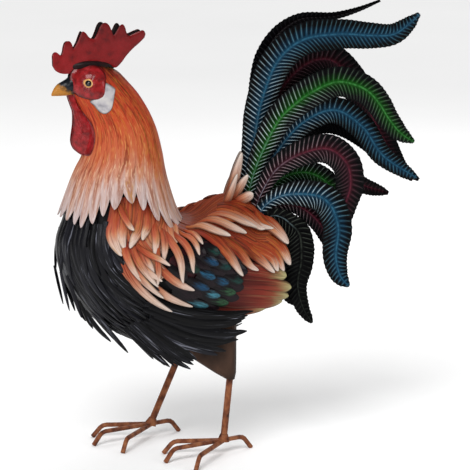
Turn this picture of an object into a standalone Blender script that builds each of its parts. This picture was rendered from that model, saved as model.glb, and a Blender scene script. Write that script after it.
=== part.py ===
"""Rooster garden statue of painted sheet metal on rod legs.

The bird faces -X, its left side is -Y and it stands on its toe tips at z = 0. Units are metres.
Body and neck are lofts through oval rings. Every feather sheet is cut on those lofts: a place on a
loft is a station s along it and an angle, 0 at the breast side, 180 along the back and positive on
the bird's left, and a sheet is lifted off the loft along its normal.
"""

import math

import bmesh
import bpy
from mathutils import Matrix, Vector

MM = 0.001

# Driving dimensions
SHEET = 1.2 * MM  # feather sheets on the body
TAIL_SHEET = 1.4 * MM
COMB_SHEET = 2.0 * MM
SEAT_GAP = 0.3 * MM  # between pieces that touch
SEAT_LIFT = 0.6 * MM  # from a loft's true curve to the sheet that sits on its facets
SHOULDER_RISE = 6.6 * MM  # how far the shoulder feathers' tips stand off
LEG_ROD = 7.8 * MM
TOE_ROD = 5.4 * MM
WELD_RADIUS = 6.0 * MM
WELD_HEIGHT = 8.0 * MM
ANKLE_HEIGHT = 17.6 * MM
TOE_LENGTH = {"right": 68.0 * MM, "middle": 78.0 * MM, "left": 81.0 * MM, "back": 37.0 * MM}
TOE_HEADING = {"right": 10.0, "middle": -19.0, "left": -53.0, "back": 161.0}  # degrees from straight ahead
TOE_CLAW_RUN = 12.0 * MM  # the bent end's reach along the ground
TOE_FLAT = 0.8 * MM  # depth of the flat worn under each toe end
SIDE_TOE_SINK = 0.4 * MM  # the side toes are welded a little below the long rod
SHOULDER_SEAT = 2.4 * MM  # as SEAT_LIFT, where the back is hollow before the shoulders
SADDLE_LIFT = 4.0 * MM  # from the back to the lower saddle sheet's outer face
SADDLE_STEP = 3.8 * MM  # from the lower saddle sheet to the upper one
SADDLE_DROP = 3.0 * MM  # how much further the saddle stands off over the wings
FLANK_STRIP_OUT = 64.0 * MM  # how far from the middle the strips under the wings hang
BODY_TOP = 304.7 * MM  # where the neck sits on the body
TOOTH_HEIGHT = 11.0 * MM  # depth of the hackle's teeth
HACKLE_TEETH = 24
RING_SIDES = 36
ROD_SIDES_RESOLUTION = 2

# Body rings as breast or belly point, back point (x, z) and half width, in mm
BODY_RINGS = [
    ((-130, 304.7), (-29, 304.7), 43),
    ((-139, 268), (-16, 268), 52),
    ((-147, 240), (-1, 262), 59),
    ((-141, 207), (13, 265), 64),
    ((-123, 176), (28, 275), 66),
    ((-95, 150), (42, 280), 66),
    ((-60, 134), (55, 278), 64),
    ((-20, 128), (66, 272), 60),
    ((18, 129), (76, 262), 54),
    ((48, 144), (85, 251), 45),
    ((72, 170), (93, 237), 34),
    ((87, 194), (98, 222), 20),
]
# The wings and the saddle run on behind the place where the body draws in
FLANK_RINGS = BODY_RINGS[:8] + [
    ((18, 129), (76, 264), 57),
    ((55, 137), (98, 260), 56),
    ((85, 150), (118, 250), 54),
    ((112, 160), (136, 238), 51),
]
# Neck rings from the hackle's hem up to the crown
NECK_RINGS = [
    ((-152, 250), (-2, 250), 63),
    ((-146, 276), (-14, 276), 57),
    ((-136, 305), (-23, 305), 49),
    ((-129, 322), (-27, 322), 44),
    ((-120, 340), (-30, 340), 39),
    ((-115, 364), (-36, 364), 34),
    ((-121, 385), (-45, 385), 30),
    ((-130, 404), (-57, 404), 26),
    ((-133, 419), (-71, 419), 22),
    ((-129, 431), (-84, 431), 17),
    ((-119, 438), (-95, 438), 9),
]

# Height in mm of the hackle's tooth tips at angles from the breast: it lifts over each shoulder
HACKLE_HEM = [(0, 262), (22, 267), (42, 265), (56, 268), (66, 277), (78, 283), (92, 287), (104, 282), (120, 272),
              (135, 269), (150, 273), (165, 278), (180, 280)]

# Side outlines (x, z) in mm
COMB_OUTLINE = [
    (-148, 430), (-154, 445), (-150, 455), (-144, 452), (-135, 466), (-130, 459), (-118, 476), (-109, 467),
    (-94, 485), (-85, 470), (-74, 482), (-68, 470), (-52, 474), (-49, 469), (-68, 452), (-76, 441),
    (-86, 432), (-98, 434), (-112, 434), (-124, 431), (-132, 428), (-139, 426),
]
WATTLE_OUTLINE = [
    (-138, 406), (-133, 392), (-132, 378), (-134, 364), (-134, 352), (-128, 343), (-118, 339),
    (-109, 346), (-107, 358), (-110, 373), (-117, 388), (-127, 402),
]
LOBE_OUTLINE = [
    (-103, 404), (-99, 413), (-91, 418), (-86, 409), (-90, 397), (-95, 388), (-104, 385), (-111, 393), (-114, 401),
]
BEAK_RINGS = [((-127, 403), (-127, 428), 10), ((-137, 403), (-139, 424), 7.5), ((-147, 403), (-149, 416), 4.5),
              ((-156, 402), (-156, 405), 1)]

# Tail feathers: side path (x, z) from root to tip, widest width and side offset at the root, in mm
TAIL_FEATHERS = {
    "tail_feather_01_blue_top": ([(60, 262), (67, 297), (76, 344), (86, 390), (105, 432), (133, 455), (176, 461),
                                  (209, 461), (235, 462), (252, 469), (268, 482)], 36, -1.0),
    "tail_feather_02_dark_top": ([(59, 262), (68, 302), (76, 380), (86, 432), (104, 463), (133, 479), (170, 481),
                                  (199, 488), (226, 499)], 22, 2.6),
    "tail_feather_03_green": ([(63, 262), (67, 292), (77, 326), (98, 369), (118, 387), (142, 400), (169, 409),
                               (203, 394), (225, 375), (242, 351), (259, 338)], 37, -7.6),
    "tail_feather_04_wine_rear": ([(68, 260), (76, 299), (91, 353), (115, 397), (145, 425), (175, 430), (199, 409),
                                   (221, 372), (241, 335), (257, 307), (277, 287)], 38, 12.6),
    "tail_feather_05_blue_middle": ([(68, 262), (80, 296), (101, 336), (130, 366), (166, 378), (199, 358), (224, 325),
                                     (264, 298)], 30, -4.3),
    "tail_feather_06_dark_middle": ([(72, 260), (84, 297), (109, 334), (139, 355), (169, 361), (200, 345), (238, 314),
                                     (278, 290)], 25, 6.0),
    "tail_feather_07_wine_front": ([(70, 258), (78, 288), (95, 317), (121, 332), (153, 337), (174, 321), (181, 296),
                                    (176, 272), (172, 240), (176, 211)], 36, -14.2),
    "tail_feather_08_wine_swept": ([(75, 256), (88, 285), (111, 309), (144, 325), (176, 322), (198, 304), (215, 287),
                                    (249, 272)], 26, 15.9),
    "tail_feather_09_blue_low": ([(72, 254), (82, 276), (104, 288), (138, 287), (154, 277), (162, 262), (166, 244),
                                  (161, 217), (165, 195), (175, 182)], 36, -17.5),
    "tail_feather_10_green_low": ([(79, 252), (90, 280), (117, 301), (144, 304), (168, 291), (183, 264), (187, 236),
                                   (181, 207)], 28, 9.3),
    "tail_feather_11_wine_low": ([(78, 252), (88, 272), (108, 280), (128, 273), (145, 250), (160, 223), (171, 198)],
                                 25, -10.9),
    "tail_feather_12_black_left": ([(76, 248), (87, 264), (98, 264), (108, 257), (117, 242), (118, 215), (115, 187),
                                    (119, 161), (128, 144)], 31, -20.8),
    "tail_feather_13_black_right": ([(78, 246), (88, 262), (100, 262), (112, 254), (120, 238), (121, 213), (119, 186),
                                     (124, 160), (133, 144)], 32, 19.2),
}
TAIL_FAN_CENTRE = (60, 258)  # the feathers fan sideways in proportion to their distance from here
TAIL_FAN_RATE = 0.0085  # side offset gained in each mm of that distance, as a share of the root's
# Share of the widest width at shares of a tail feather's length
TAIL_WIDTH_SHARES = [(0.0, 0.28), (0.12, 0.5), (0.28, 0.86), (0.45, 1.0), (0.65, 0.92), (0.8, 0.74), (0.92, 0.5),
                     (0.98, 0.26), (1.0, 0.12)]
TAIL_STEPS = 13
TAIL_CROWN = 2.0 * MM  # how far a tail feather's midrib stands off its edges

# Black breast feather rows: station of the root, station of the tips, the angle that they reach and
# how far in mm the tips stand off
BREAST_ROWS = [(1, 2.7, 79, 7), (2, 3.7, 79, 8), (3, 4.6, 79, 10), (4, 5.6, 69, 12), (5, 6.4, 66, 12),
               (6, 7.4, 20, 11), (7, 8.3, 20, 8)]
TOOTH_ANGLE = 10.0

KNEE = {"left": Vector((35.5, -45, 85)) * MM, "right": Vector((-3, 45, 88)) * MM}
ANKLE = {"left": Vector((28.5, -45, 0)) * MM, "right": Vector((-33.5, 45, 0)) * MM}
# Thigh rings above the knee: height, forward reach, rear reach, half width and shift towards the middle, in mm
THIGH_RINGS = [(0.3, 5.5, 5.5, 5.5, 0), (8, 17, 7, 9, 0), (24, 40, 7.5, 13, 2), (46, 56, 8, 17, 5), (63, 59, 9, 18, 8)]
# The right thigh is carried forward, so its drumstick reaches back further than the left one's
THIGH_FRONT_SHARE = {"left": 1.0, "right": 0.55}
THIGH_REAR_SHARE = {"left": 1.0, "right": 3.2}


def side_sign(side):
    """-1 on the bird's left (-Y), +1 on its right."""
    return -1 if side == "left" else 1


def spline(points, position):
    """A point of the smooth curve through points, at a fractional index."""
    last = len(points) - 1
    index = min(max(int(position), 0), last - 1)
    t = position - index
    p1 = points[index]
    p2 = points[index + 1]
    p0 = points[index - 1] if index > 0 else tuple(2 * a - b for a, b in zip(p1, p2))
    p3 = points[index + 2] if index + 2 <= last else tuple(2 * b - a for a, b in zip(p1, p2))
    return tuple(
        0.5 * (2 * b + (c - a) * t + (2 * a - 5 * b + 4 * c - d) * t * t + (3 * b - a - 3 * c + d) * t ** 3)
        for a, b, c, d in zip(p0, p1, p2, p3)
    )


def interpolate(table, x):
    """Straight-line reading of a table of (x, value) rows."""
    for (x0, y0), (x1, y1) in zip(table, table[1:]):
        if x <= x1:
            return y0 + (y1 - y0) * max(0.0, x - x0) / (x1 - x0)
    return table[-1][1]


class Loft:
    """A smooth skin through oval rings that stand square to the bird's middle plane."""

    def __init__(self, rings):
        self.rings = [(*outer, *inner, half) for outer, inner, half in rings]
        self.out = 1
        middle = len(rings) / 2
        if self.normal(middle, 0).dot(self.point(middle, 0) - self.point(middle, 180)) < 0:
            self.out = -1

    def point(self, s, angle):
        outer_x, outer_z, inner_x, inner_z, half = spline(self.rings, s)
        turn = math.radians(angle)
        middle = Vector(((outer_x + inner_x) / 2, 0, (outer_z + inner_z) / 2))
        reach = Vector(((outer_x - inner_x) / 2, 0, (outer_z - inner_z) / 2))
        return (middle + reach * math.cos(turn) + Vector((0, -half * math.sin(turn), 0))) * MM

    def normal(self, s, angle):
        """The outward normal."""
        step = 0.05
        along = self.point(s + step, angle) - self.point(s - step, angle)
        around = self.point(s, angle + 1) - self.point(s, angle - 1)
        return along.cross(around).normalized() * self.out

    def lifted(self, s, angle, lift):
        return self.point(s, angle) + self.normal(s, angle) * lift


BODY = Loft(BODY_RINGS)
FLANK = Loft(FLANK_RINGS)
NECK = Loft(NECK_RINGS)


def paint(name, colour, roughness=0.45, metallic=0.0):
    material = bpy.data.materials.new(name)
    material.use_nodes = True
    shader = material.node_tree.nodes["Principled BSDF"]
    shader.inputs["Base Color"].default_value = (*colour, 1.0)
    shader.inputs["Roughness"].default_value = roughness
    shader.inputs["Metallic"].default_value = metallic
    material.diffuse_color = (*colour, 1.0)
    return material


def add_object(name, bm, material):
    """A named, smooth-shaded object from a bmesh, with its normals facing out."""
    mesh = bpy.data.meshes.new(name)
    bmesh.ops.recalc_face_normals(bm, faces=bm.faces)
    if all(edge.is_manifold for edge in bm.edges) and bm.calc_volume(signed=True) < 0:
        bmesh.ops.reverse_faces(bm, faces=bm.faces)
    bm.to_mesh(mesh)
    bm.free()
    mesh.shade_smooth()
    mesh.set_sharp_from_angle(angle=math.radians(40))
    obj = bpy.data.objects.new(name, mesh)
    bpy.context.scene.collection.objects.link(obj)
    if material:
        mesh.materials.append(material)
    return obj


def as_cutter(obj):
    obj.hide_render = True
    obj.display_type = "WIRE"
    return obj


def boolean(obj, other, operation="DIFFERENCE"):
    modifier = obj.modifiers.new(operation.title(), "BOOLEAN")
    modifier.operation = operation
    modifier.solver = "EXACT"
    modifier.object = other
    return obj


def thicken(obj, thickness, offset=-1.0):
    """Gives an open sheet its metal thickness, inwards unless offset says otherwise."""
    modifier = obj.modifiers.new("Sheet", "SOLIDIFY")
    modifier.thickness = thickness
    modifier.offset = offset
    return obj


def apply_modifiers(obj):
    """Replaces the object's mesh by the evaluated one, for a piece that another piece is joined to."""
    graph = bpy.context.evaluated_depsgraph_get()
    mesh = bpy.data.meshes.new_from_object(obj.evaluated_get(graph))
    obj.modifiers.clear()
    obj.data = mesh
    return obj


def union(obj, extras):
    """Fuses extra pieces onto an object and removes them."""
    for extra in extras:
        boolean(obj, extra, "UNION")
    apply_modifiers(obj)
    for extra in extras:
        bpy.data.objects.remove(extra)
    return obj


def loop_vertices(bm, points):
    return [bm.verts.new(p) for p in points]


def bridge(bm, lower, upper):
    count = len(lower)
    for i in range(count):
        ahead = (i + 1) % count
        bm.faces.new((lower[i], lower[ahead], upper[ahead]))
        bm.faces.new((lower[i], upper[ahead], upper[i]))


def solid_of_rings(rings):
    """A closed bmesh through rings of points, capped flat at both ends."""
    bm = bmesh.new()
    loops = [loop_vertices(bm, ring) for ring in rings]
    for lower, upper in zip(loops, loops[1:]):
        bridge(bm, lower, upper)
    bm.faces.new(loops[0])
    bm.faces.new(loops[-1])
    return bm


def ring_angles(sides):
    return [360.0 * i / sides for i in range(sides)]


def body_solid(grow):
    """The body from its flat top, under the neck, to the rump. Grown, it cuts what sits on it."""
    rings = [[BODY.lifted(s, a, grow) for a in ring_angles(RING_SIDES)] for s in range(len(BODY_RINGS))]
    for point in rings[0]:
        point.z = BODY_TOP + grow
    return solid_of_rings(rings)


def hackle_edge(angle):
    """Height of the hackle's tooth tips."""
    return interpolate(HACKLE_HEM, abs((angle + 180) % 360 - 180)) * MM


def neck_at_height(z, angle, inset=0.0):
    """A point of the neck's skin at a height, found by halving between stations."""
    low, high = 0.0, len(NECK_RINGS) - 1.0
    for _ in range(30):
        middle = (low + high) / 2
        if NECK.point(middle, angle).z < z:
            low = middle
        else:
            high = middle
    return NECK.lifted(low, angle, -inset)


def neck_solid(grow):
    """Head and neck with the hackle's toothed skirt, which hangs outside the body's shoulders."""
    angles = ring_angles(HACKLE_TEETH * 2)

    def hem(inset):
        points = []
        for i, angle in enumerate(angles):
            height = hackle_edge(angle) + (TOOTH_HEIGHT if i % 2 else 0)
            points.append(neck_at_height(height, angle, inset))
        return points

    floor = []
    for angle in angles:
        point = neck_at_height(BODY_TOP + SEAT_GAP, angle, SHEET + grow)
        floor.append(Vector((point.x, point.y, BODY_TOP + SEAT_GAP)))
    crown = [[NECK.lifted(s, a, grow) for a in angles] for s in range(2, len(NECK_RINGS))]
    return solid_of_rings([floor, hem(SHEET), hem(-grow), *crown])


def puffed_plate(outline, edge_y, bulge_out, bulge_in, inner_share=0.62):
    """A pillowed plate in the bird's side plane: its rim at edge_y, bulging out towards -Y and in towards +Y."""
    middle = sum((Vector(p) for p in outline), Vector((0, 0))) / len(outline)
    rim = [Vector((x, edge_y, z)) for x, z in outline]

    def inner(y):
        return [Vector((middle.x + (x - middle.x) * inner_share, y, middle.y + (z - middle.y) * inner_share))
                for x, z in outline]

    rings = [inner(edge_y - bulge_out), rim, inner(edge_y + bulge_in)]
    return solid_of_rings([[p * MM for p in ring] for ring in rings])


def mirror_to(side, bm):
    """Puts a piece modelled on the bird's left onto the side asked for."""
    if side == "right":
        bmesh.ops.scale(bm, vec=(1, -1, 1), verts=bm.verts)
    return bm


def feather_sheet(name, loft, rows, tips, lift, material, thickness, side=None, bluntness=0.0):
    """An open sheet on a loft: a grid of (s, angle) rows whose last row ends in teeth, one for each tip.

    lift(s, angle) is the height of the sheet's outer face off the loft. Teeth are pointed, or rounded
    off by two more corners when bluntness, their width near the tip as a share, is given.
    """
    bm = bmesh.new()

    def vertex(place):
        return bm.verts.new(loft.lifted(*place, lift(*place)))

    grid = [[vertex(place) for place in row] for row in rows]
    for lower, upper in zip(grid, grid[1:]):
        for i in range(len(lower) - 1):
            bm.faces.new((lower[i], lower[i + 1], upper[i + 1], upper[i]))
    for i, (tip_s, tip_angle) in enumerate(tips):
        corners = (grid[-1][i], grid[-1][i + 1])
        if bluntness:
            near_tip = [
                vertex((tip_s + (s - tip_s) * 0.3, tip_angle + (angle - tip_angle) * bluntness))
                for s, angle in (rows[-1][i], rows[-1][i + 1])
            ]
            bm.faces.new((*corners, near_tip[1], near_tip[0]))
            corners = near_tip
        bm.faces.new((*corners, vertex((tip_s, tip_angle))))
    if side:
        mirror_to(side, bm)
    obj = add_object(name, bm, material)
    sheet_faces_out(obj.data, loft)
    return thicken(obj, thickness)


def sheet_faces_out(mesh, loft):
    """Turns an open sheet so that its normals point away from the middle of its loft."""
    middle = (loft.point(4, 0) + loft.point(4, 180)) / 2
    facing = sum(p.normal.dot(p.center - middle) * p.area for p in mesh.polygons)
    if facing < 0:
        mesh.flip_normals()


def shingle_lift(root_s, tip_s, seat, rise):
    """Lift of a row that sits at its root and stands off towards its tips."""
    return lambda s, angle: seat + SHEET + rise * max(0.0, s - root_s) / (tip_s - root_s)


def breast_row(name, root_s, tip_s, reach, rise, material):
    """One row of black breast feathers, from the left shoulder round the breast to the right."""
    count = 2 * round(reach / TOOTH_ANGLE)
    angles = [-reach + 2 * reach * i / count for i in range(count + 1)]
    valley_s = root_s + (tip_s - root_s) * 0.38
    tips = []
    for i in range(count):
        length = tip_s - 0.16 * (i % 3)
        tips.append((length, (angles[i] + angles[i + 1]) / 2))
    rows = [[(root_s, a) for a in angles], [(valley_s, a) for a in angles]]
    return feather_sheet(name, BODY, rows, tips, shingle_lift(root_s, tip_s, SEAT_LIFT, rise * MM), material,
                         SHEET)


def make_body(materials):
    add_object("body", body_solid(0.0), materials["black"])
    for number, row in enumerate(BREAST_ROWS, 1):
        breast_row(f"breast_feathers_{number}", *row, materials["black"])
    return as_cutter(add_object("body_clearance", body_solid(SEAT_GAP), None))


def make_head(materials):
    """Head and neck with the raised face, ear lobes and eyes, and the pieces that are fixed to it."""
    head = add_object("head_and_neck", neck_solid(0.0), materials["orange"])
    face = [(-116 + 18 * math.cos(math.radians(a)), 420 + 17 * math.sin(math.radians(a))) for a in ring_angles(14)]
    eye = [(-118 + 5 * math.cos(math.radians(a)), 420 + 5 * math.sin(math.radians(a))) for a in ring_angles(10)]
    reliefs = []
    for side in ("left", "right"):
        for name, plate in (
            ("face", puffed_plate(face, -16.5, 5.0, 4.0, 0.7)),
            ("lobe", puffed_plate(LOBE_OUTLINE, -21.5, 3.0, 4.0, 0.7)),
            ("eye", puffed_plate(eye, -20.0, 3.4, 2.0, 0.6)),
        ):
            reliefs.append(add_object(f"{name}_{side}", mirror_to(side, plate), None))
    union(head, reliefs)
    clearance = as_cutter(add_object("head_clearance", neck_solid(SEAT_GAP), None))
    for side in ("left", "right"):
        comb_half(side, materials["red"], clearance)
        wattle = mirror_to(side, puffed_plate(WATTLE_OUTLINE, -8.5, 3.5, 2.0))
        boolean(add_object(f"wattle_{side}", wattle, materials["red"]), clearance)
    beak(materials["horn"], clearance)
    return clearance


def comb_half(side, material, head_clearance):
    """One of the two flat sheets of the comb. They stand in a V, open at the top."""
    base_y, lean = 3.5 * MM, 0.2
    faces = []
    for offset in (0.0, COMB_SHEET):
        faces.append([Vector((x * MM, -(base_y + (z - COMB_OUTLINE[0][1]) * MM * lean + offset), z * MM))
                      for x, z in COMB_OUTLINE])
    comb = add_object(f"comb_{side}", mirror_to(side, solid_of_rings(faces)), material)
    return boolean(comb, head_clearance)


def beak(material, head_clearance):
    loft = Loft([(upper, lower, half) for lower, upper, half in BEAK_RINGS])
    rings = [[loft.point(s, a) for a in ring_angles(10)] for s in range(len(BEAK_RINGS))]
    return boolean(add_object("beak", solid_of_rings(rings), material), head_clearance)


def shoulder_lift(s, angle):
    """Lift of the short row: its tips stand off over the shoulder and lie close over the back."""
    rise = interpolate([(110, SHOULDER_RISE), (178, SHOULDER_RISE * 0.16)], angle)
    return shingle_lift(1.25, 2.75, SHOULDER_SEAT, rise)(s, angle)


def make_shoulders(materials, body_clearance):
    """Orange hackle feathers that fall from under the neck over each shoulder, a short row and a long one."""
    for side in ("left", "right"):
        angles = [81 + 9.7 * i for i in range(11)]
        rows = [[(1.25, a) for a in angles], [(1.7, a) for a in angles]]
        tips = [(2.75 - 0.3 * (i % 2), (angles[i] + angles[i + 1]) / 2) for i in range(10)]
        upper = feather_sheet(f"shoulder_feathers_{side}_upper", BODY, rows, tips, shoulder_lift, materials["orange"],
                              SHEET, side)
        boolean(upper, body_clearance)
        angles = [82 + 7.8 * i for i in range(6)]
        rows = [[(2, a) for a in angles], [(3, a) for a in angles]]
        tips = [(5.0 - 0.35 * (i % 2), (angles[i] + angles[i + 1]) / 2) for i in range(5)]
        feather_sheet(f"shoulder_feathers_{side}_lower", BODY, rows, tips,
                      shingle_lift(2, 5.0, SEAT_LIFT, SHOULDER_RISE), materials["orange"], SHEET, side)


FLANK_STRIP_TIPS = [(-6, 102), (6, 109), (18, 117), (30, 124), (40, 131), (48, 139), (55, 149)]  # (x, z) in mm


def make_flanks(materials):
    """Black strips that hang from under each wing, clear of the thigh's outer side."""
    count = len(FLANK_STRIP_TIPS)
    for side in ("left", "right"):
        bm = bmesh.new()
        roots, knees = [], []
        for i in range(count + 1):
            s = 6.7 + 2.3 * i / count
            root = FLANK.lifted(s, interpolate(WING_LOWER_ANGLE, s) - 5, SEAT_LIFT + SHEET)
            roots.append(bm.verts.new(root))
            tip_x, tip_z = FLANK_STRIP_TIPS[min(i, count - 1)]
            tip_x -= 5.5 if i < count else -5.5
            knees.append(bm.verts.new((root.x + (tip_x * MM - root.x) * 0.5, -FLANK_STRIP_OUT,
                                       root.z + (tip_z * MM - root.z) * 0.5)))
        for i, (tip_x, tip_z) in enumerate(FLANK_STRIP_TIPS):
            bm.faces.new((roots[i], roots[i + 1], knees[i + 1], knees[i]))
            tip = Vector((tip_x * MM, -FLANK_STRIP_OUT - 2 * MM, tip_z * MM))
            bm.faces.new((knees[i], knees[i + 1], bm.verts.new(tip)))
        strips = add_object(f"flank_feathers_{side}", mirror_to(side, bm), materials["black"])
        sheet_faces_out(strips.data, FLANK)
        thicken(strips, SHEET)


WING_LOWER_ANGLE = [(4, 98), (4.5, 86), (5, 79), (6, 73), (7, 67), (8, 61), (10.2, 57)]
WING_UPPER_ANGLE = [(4, 106), (4.5, 114), (5, 119), (6, 122), (7, 120), (8, 115), (9, 106), (10.2, 97)]


def make_wings(materials):
    """Each wing is one pressed sheet whose flight feathers end in rounded tips behind the body."""
    columns = 5
    for side in ("left", "right"):
        rows = []
        for s in (4, 4.5, 5, 5.5, 6, 6.5, 7, 7.5, 8, 8.5, 9, 9.5):
            low, high = interpolate(WING_LOWER_ANGLE, s), interpolate(WING_UPPER_ANGLE, s)
            rows.append([(s, low + (high - low) * i / columns) for i in range(columns + 1)])
        hem = rows[-1]
        tips = [(10.1 - 0.12 * i, (hem[i][1] + hem[i + 1][1]) / 2) for i in range(columns)]
        feather_sheet(f"wing_{side}", FLANK, rows, tips, lambda s, angle: SEAT_LIFT + SHEET, materials["wing"], SHEET,
                      side, 0.8)


def saddle_lift(base, drop):
    """Lift of a saddle sheet: seated along the back, standing off over the wings."""
    return lambda s, angle: base + drop * min(1.0, max(0.0, 178 - abs(angle)) / 50)


def make_saddle(materials):
    """Two layers of saddle feathers bent over the back, with the strips that stand up before the tail."""
    lower_edge = [(2.9, 146), (4, 136), (5.2, 126), (6.2, 120), (7.2, 120), (8.0, 122), (8.6, 128), (8.8, 138)]
    lower_tips = [(5.3, 126), (6.6, 108), (7.8, 100), (8.4, 101), (9.1, 100), (9.5, 108), (9.4, 126)]
    upper_edge = [(3.4, 160), (4.4, 152), (5.2, 148), (5.9, 148), (6.5, 152)]
    upper_tips = [(5.4, 138), (6.2, 132), (7.0, 138), (7.7, 147)]
    for layer, edge, tips, ridge_end, base in (("lower", lower_edge, lower_tips, 5.1, SADDLE_LIFT),
                                               ("upper", upper_edge, upper_tips, 4.9, SADDLE_LIFT + SADDLE_STEP)):
        saddle_layer(f"saddle_{layer}", edge, tips, ridge_end, saddle_lift(base, SADDLE_DROP), materials["orange"],
                     layer == "upper")


def saddle_layer(name, edge, tips, ridge_end, lift, material, crest):
    count = len(edge)
    bm = bmesh.new()

    def vertex(s, angle):
        return bm.verts.new(FLANK.lifted(s, angle, lift(s, angle)))

    start = edge[0][0] + 0.3
    ridge_s = [start + (ridge_end - start) * i / (count - 1) for i in range(count)]
    ridge = [vertex(s, 180) for s in ridge_s]
    for sign in (1, -1):
        bands = [ridge]
        for share in (1 / 3, 2 / 3, 1.0):
            bands.append([vertex(r + (s - r) * share, sign * (180 + (a - 180) * share))
                          for r, (s, a) in zip(ridge_s, edge)])
        hem = bands[-1]
        for upper, lower in zip(bands, bands[1:]):
            for i in range(count - 1):
                bm.faces.new((upper[i], upper[i + 1], lower[i + 1], lower[i]))
        for i, (tip_s, tip_a) in enumerate(tips):
            near_tip = [
                vertex(tip_s + (s - tip_s) * 0.3, sign * (tip_a + (a - tip_a) * 0.4))
                for s, a in (edge[i], edge[i + 1])
            ]
            bm.faces.new((hem[i], hem[i + 1], near_tip[1], near_tip[0]))
            bm.faces.new((near_tip[0], near_tip[1], vertex(tip_s, sign * tip_a)))
        if crest:
            crest_strips(bm, [band[-1] for band in bands], sign)
    obj = add_object(name, bm, material)
    sheet_faces_out(obj.data, FLANK)
    return thicken(obj, SHEET)


def crest_strips(bm, ends, sign):
    """The saddle's rear edge bends up into pointed strips in front of the tail feathers' roots."""
    for low, high, height in zip(ends, ends[1:], (44 * MM, 38 * MM, 26 * MM)):
        tip = (low.co + high.co) / 2 + Vector((8 * MM, -4 * MM * sign, height))
        bm.faces.new((low, high, bm.verts.new(tip)))


def make_tail(materials, body_clearance):
    """Thirteen sickle feathers, each its own sheet with a raised midrib, rooted side by side on the rump."""
    for name, (path, width, root_y) in TAIL_FEATHERS.items():
        colour = name.split("_")[3]
        tail_feather(name, path, width, root_y, materials["dark" if colour == "black" else colour], body_clearance)


def fan_offset(root_y, x, z):
    """Side offset of a feather at a place in the side view, so that no two feathers ever cross."""
    reach = math.hypot(x - TAIL_FAN_CENTRE[0], z - TAIL_FAN_CENTRE[1])
    return root_y * (1 + TAIL_FAN_RATE * reach)


def tail_feather(name, path, width, root_y, material, body_clearance):
    bm = bmesh.new()
    rows = []
    outward = 1 if root_y > 0 else -1
    for i in range(TAIL_STEPS + 1):
        share = i / TAIL_STEPS
        x, z = spline(path, share * (len(path) - 1))
        ahead = spline(path, min(share + 0.01, 1.0) * (len(path) - 1))
        behind = spline(path, max(share - 0.01, 0.0) * (len(path) - 1))
        across = Vector((behind[1] - ahead[1], 0, ahead[0] - behind[0])).normalized()
        half = width * interpolate(TAIL_WIDTH_SHARES, share) / 2
        crown = outward * TAIL_CROWN / MM * min(1.0, share * 4)
        row = []
        for offset, lift in ((-half, 0.0), (0.0, crown), (half, 0.0)):
            place = Vector((x, 0, z)) + across * offset
            row.append(bm.verts.new((place + Vector((0, fan_offset(root_y, place.x, place.z) + lift, 0))) * MM))
        rows.append(row)
    for lower, upper in zip(rows, rows[1:]):
        for i in range(2):
            bm.faces.new((lower[i], lower[i + 1], upper[i + 1], upper[i]))
    feather = thicken(add_object(name, bm, material), TAIL_SHEET, 0.0)
    return boolean(feather, body_clearance)


def make_thigh(side, material, body_clearance):
    """A drumstick of bent sheet: a small flat foot over the leg rod, widening up to where the body cuts it."""
    knee, ankle = KNEE[side], ankle_top(side)
    axis = (knee - ankle).normalized()
    rings = []
    for height, front, rear, half, shift in THIGH_RINGS:
        front *= THIGH_FRONT_SHARE[side] if height > 1 else 1
        rear *= THIGH_REAR_SHARE[side] if height > 1 else 1
        ring = []
        for angle in ring_angles(16):
            turn = math.radians(angle)
            along = -math.cos(turn) * (front if math.cos(turn) > 0 else rear)
            ring.append(Vector((along, half * math.sin(turn) - side_sign(side) * shift, height)) * MM + knee)
        rings.append(ring)
    foot_turn = Vector((0, 0, 1)).rotation_difference(axis).to_matrix()
    rings[0] = [knee + foot_turn @ (p - knee) for p in rings[0]]
    return boolean(add_object(f"thigh_{side}", solid_of_rings(rings), material), body_clearance)


def ankle_top(side):
    """Where the leg rod meets the weld over the foot."""
    hub = ANKLE[side] + Vector((0, 0, ANKLE_HEIGHT))
    return hub + (KNEE[side] - hub).normalized() * WELD_HEIGHT / 2


def rod(name, points, diameter, material):
    """A round rod along a path, as a bevelled curve with flat filled ends."""
    curve = bpy.data.curves.new(name, "CURVE")
    curve.dimensions = "3D"
    curve.bevel_depth = diameter / 2
    curve.bevel_resolution = ROD_SIDES_RESOLUTION
    curve.use_fill_caps = True
    line = curve.splines.new("POLY")
    line.points.add(len(points) - 1)
    for place, point in zip(line.points, points):
        place.co = (*point, 1)
    obj = bpy.data.objects.new(name, curve)
    bpy.context.scene.collection.objects.link(obj)
    if material:
        curve.materials.append(material)
    return obj


def toe_path(ankle, toe, sink):
    """Straight out from the ankle, then bent down over a few short chords to the ground."""
    turn, length = math.radians(TOE_HEADING[toe]), TOE_LENGTH[toe]
    out = Vector((-math.cos(turn), math.sin(turn), 0))
    rise = ANKLE_HEIGHT - TOE_ROD / 2
    start = ankle + Vector((0, 0, rise - sink))
    bend = length - TOE_CLAW_RUN
    end_height = TOE_ROD / 2 * math.cos(math.atan2(rise, TOE_CLAW_RUN)) - TOE_FLAT
    points = [start, start + out * (bend - 4 * MM), start + out * bend - Vector((0, 0, 0.8 * MM))]
    points.append(start + out * (bend + 3.2 * MM) - Vector((0, 0, 3.0 * MM)))
    points.append(ankle + out * length + Vector((0, 0, end_height)))
    return points


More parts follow.
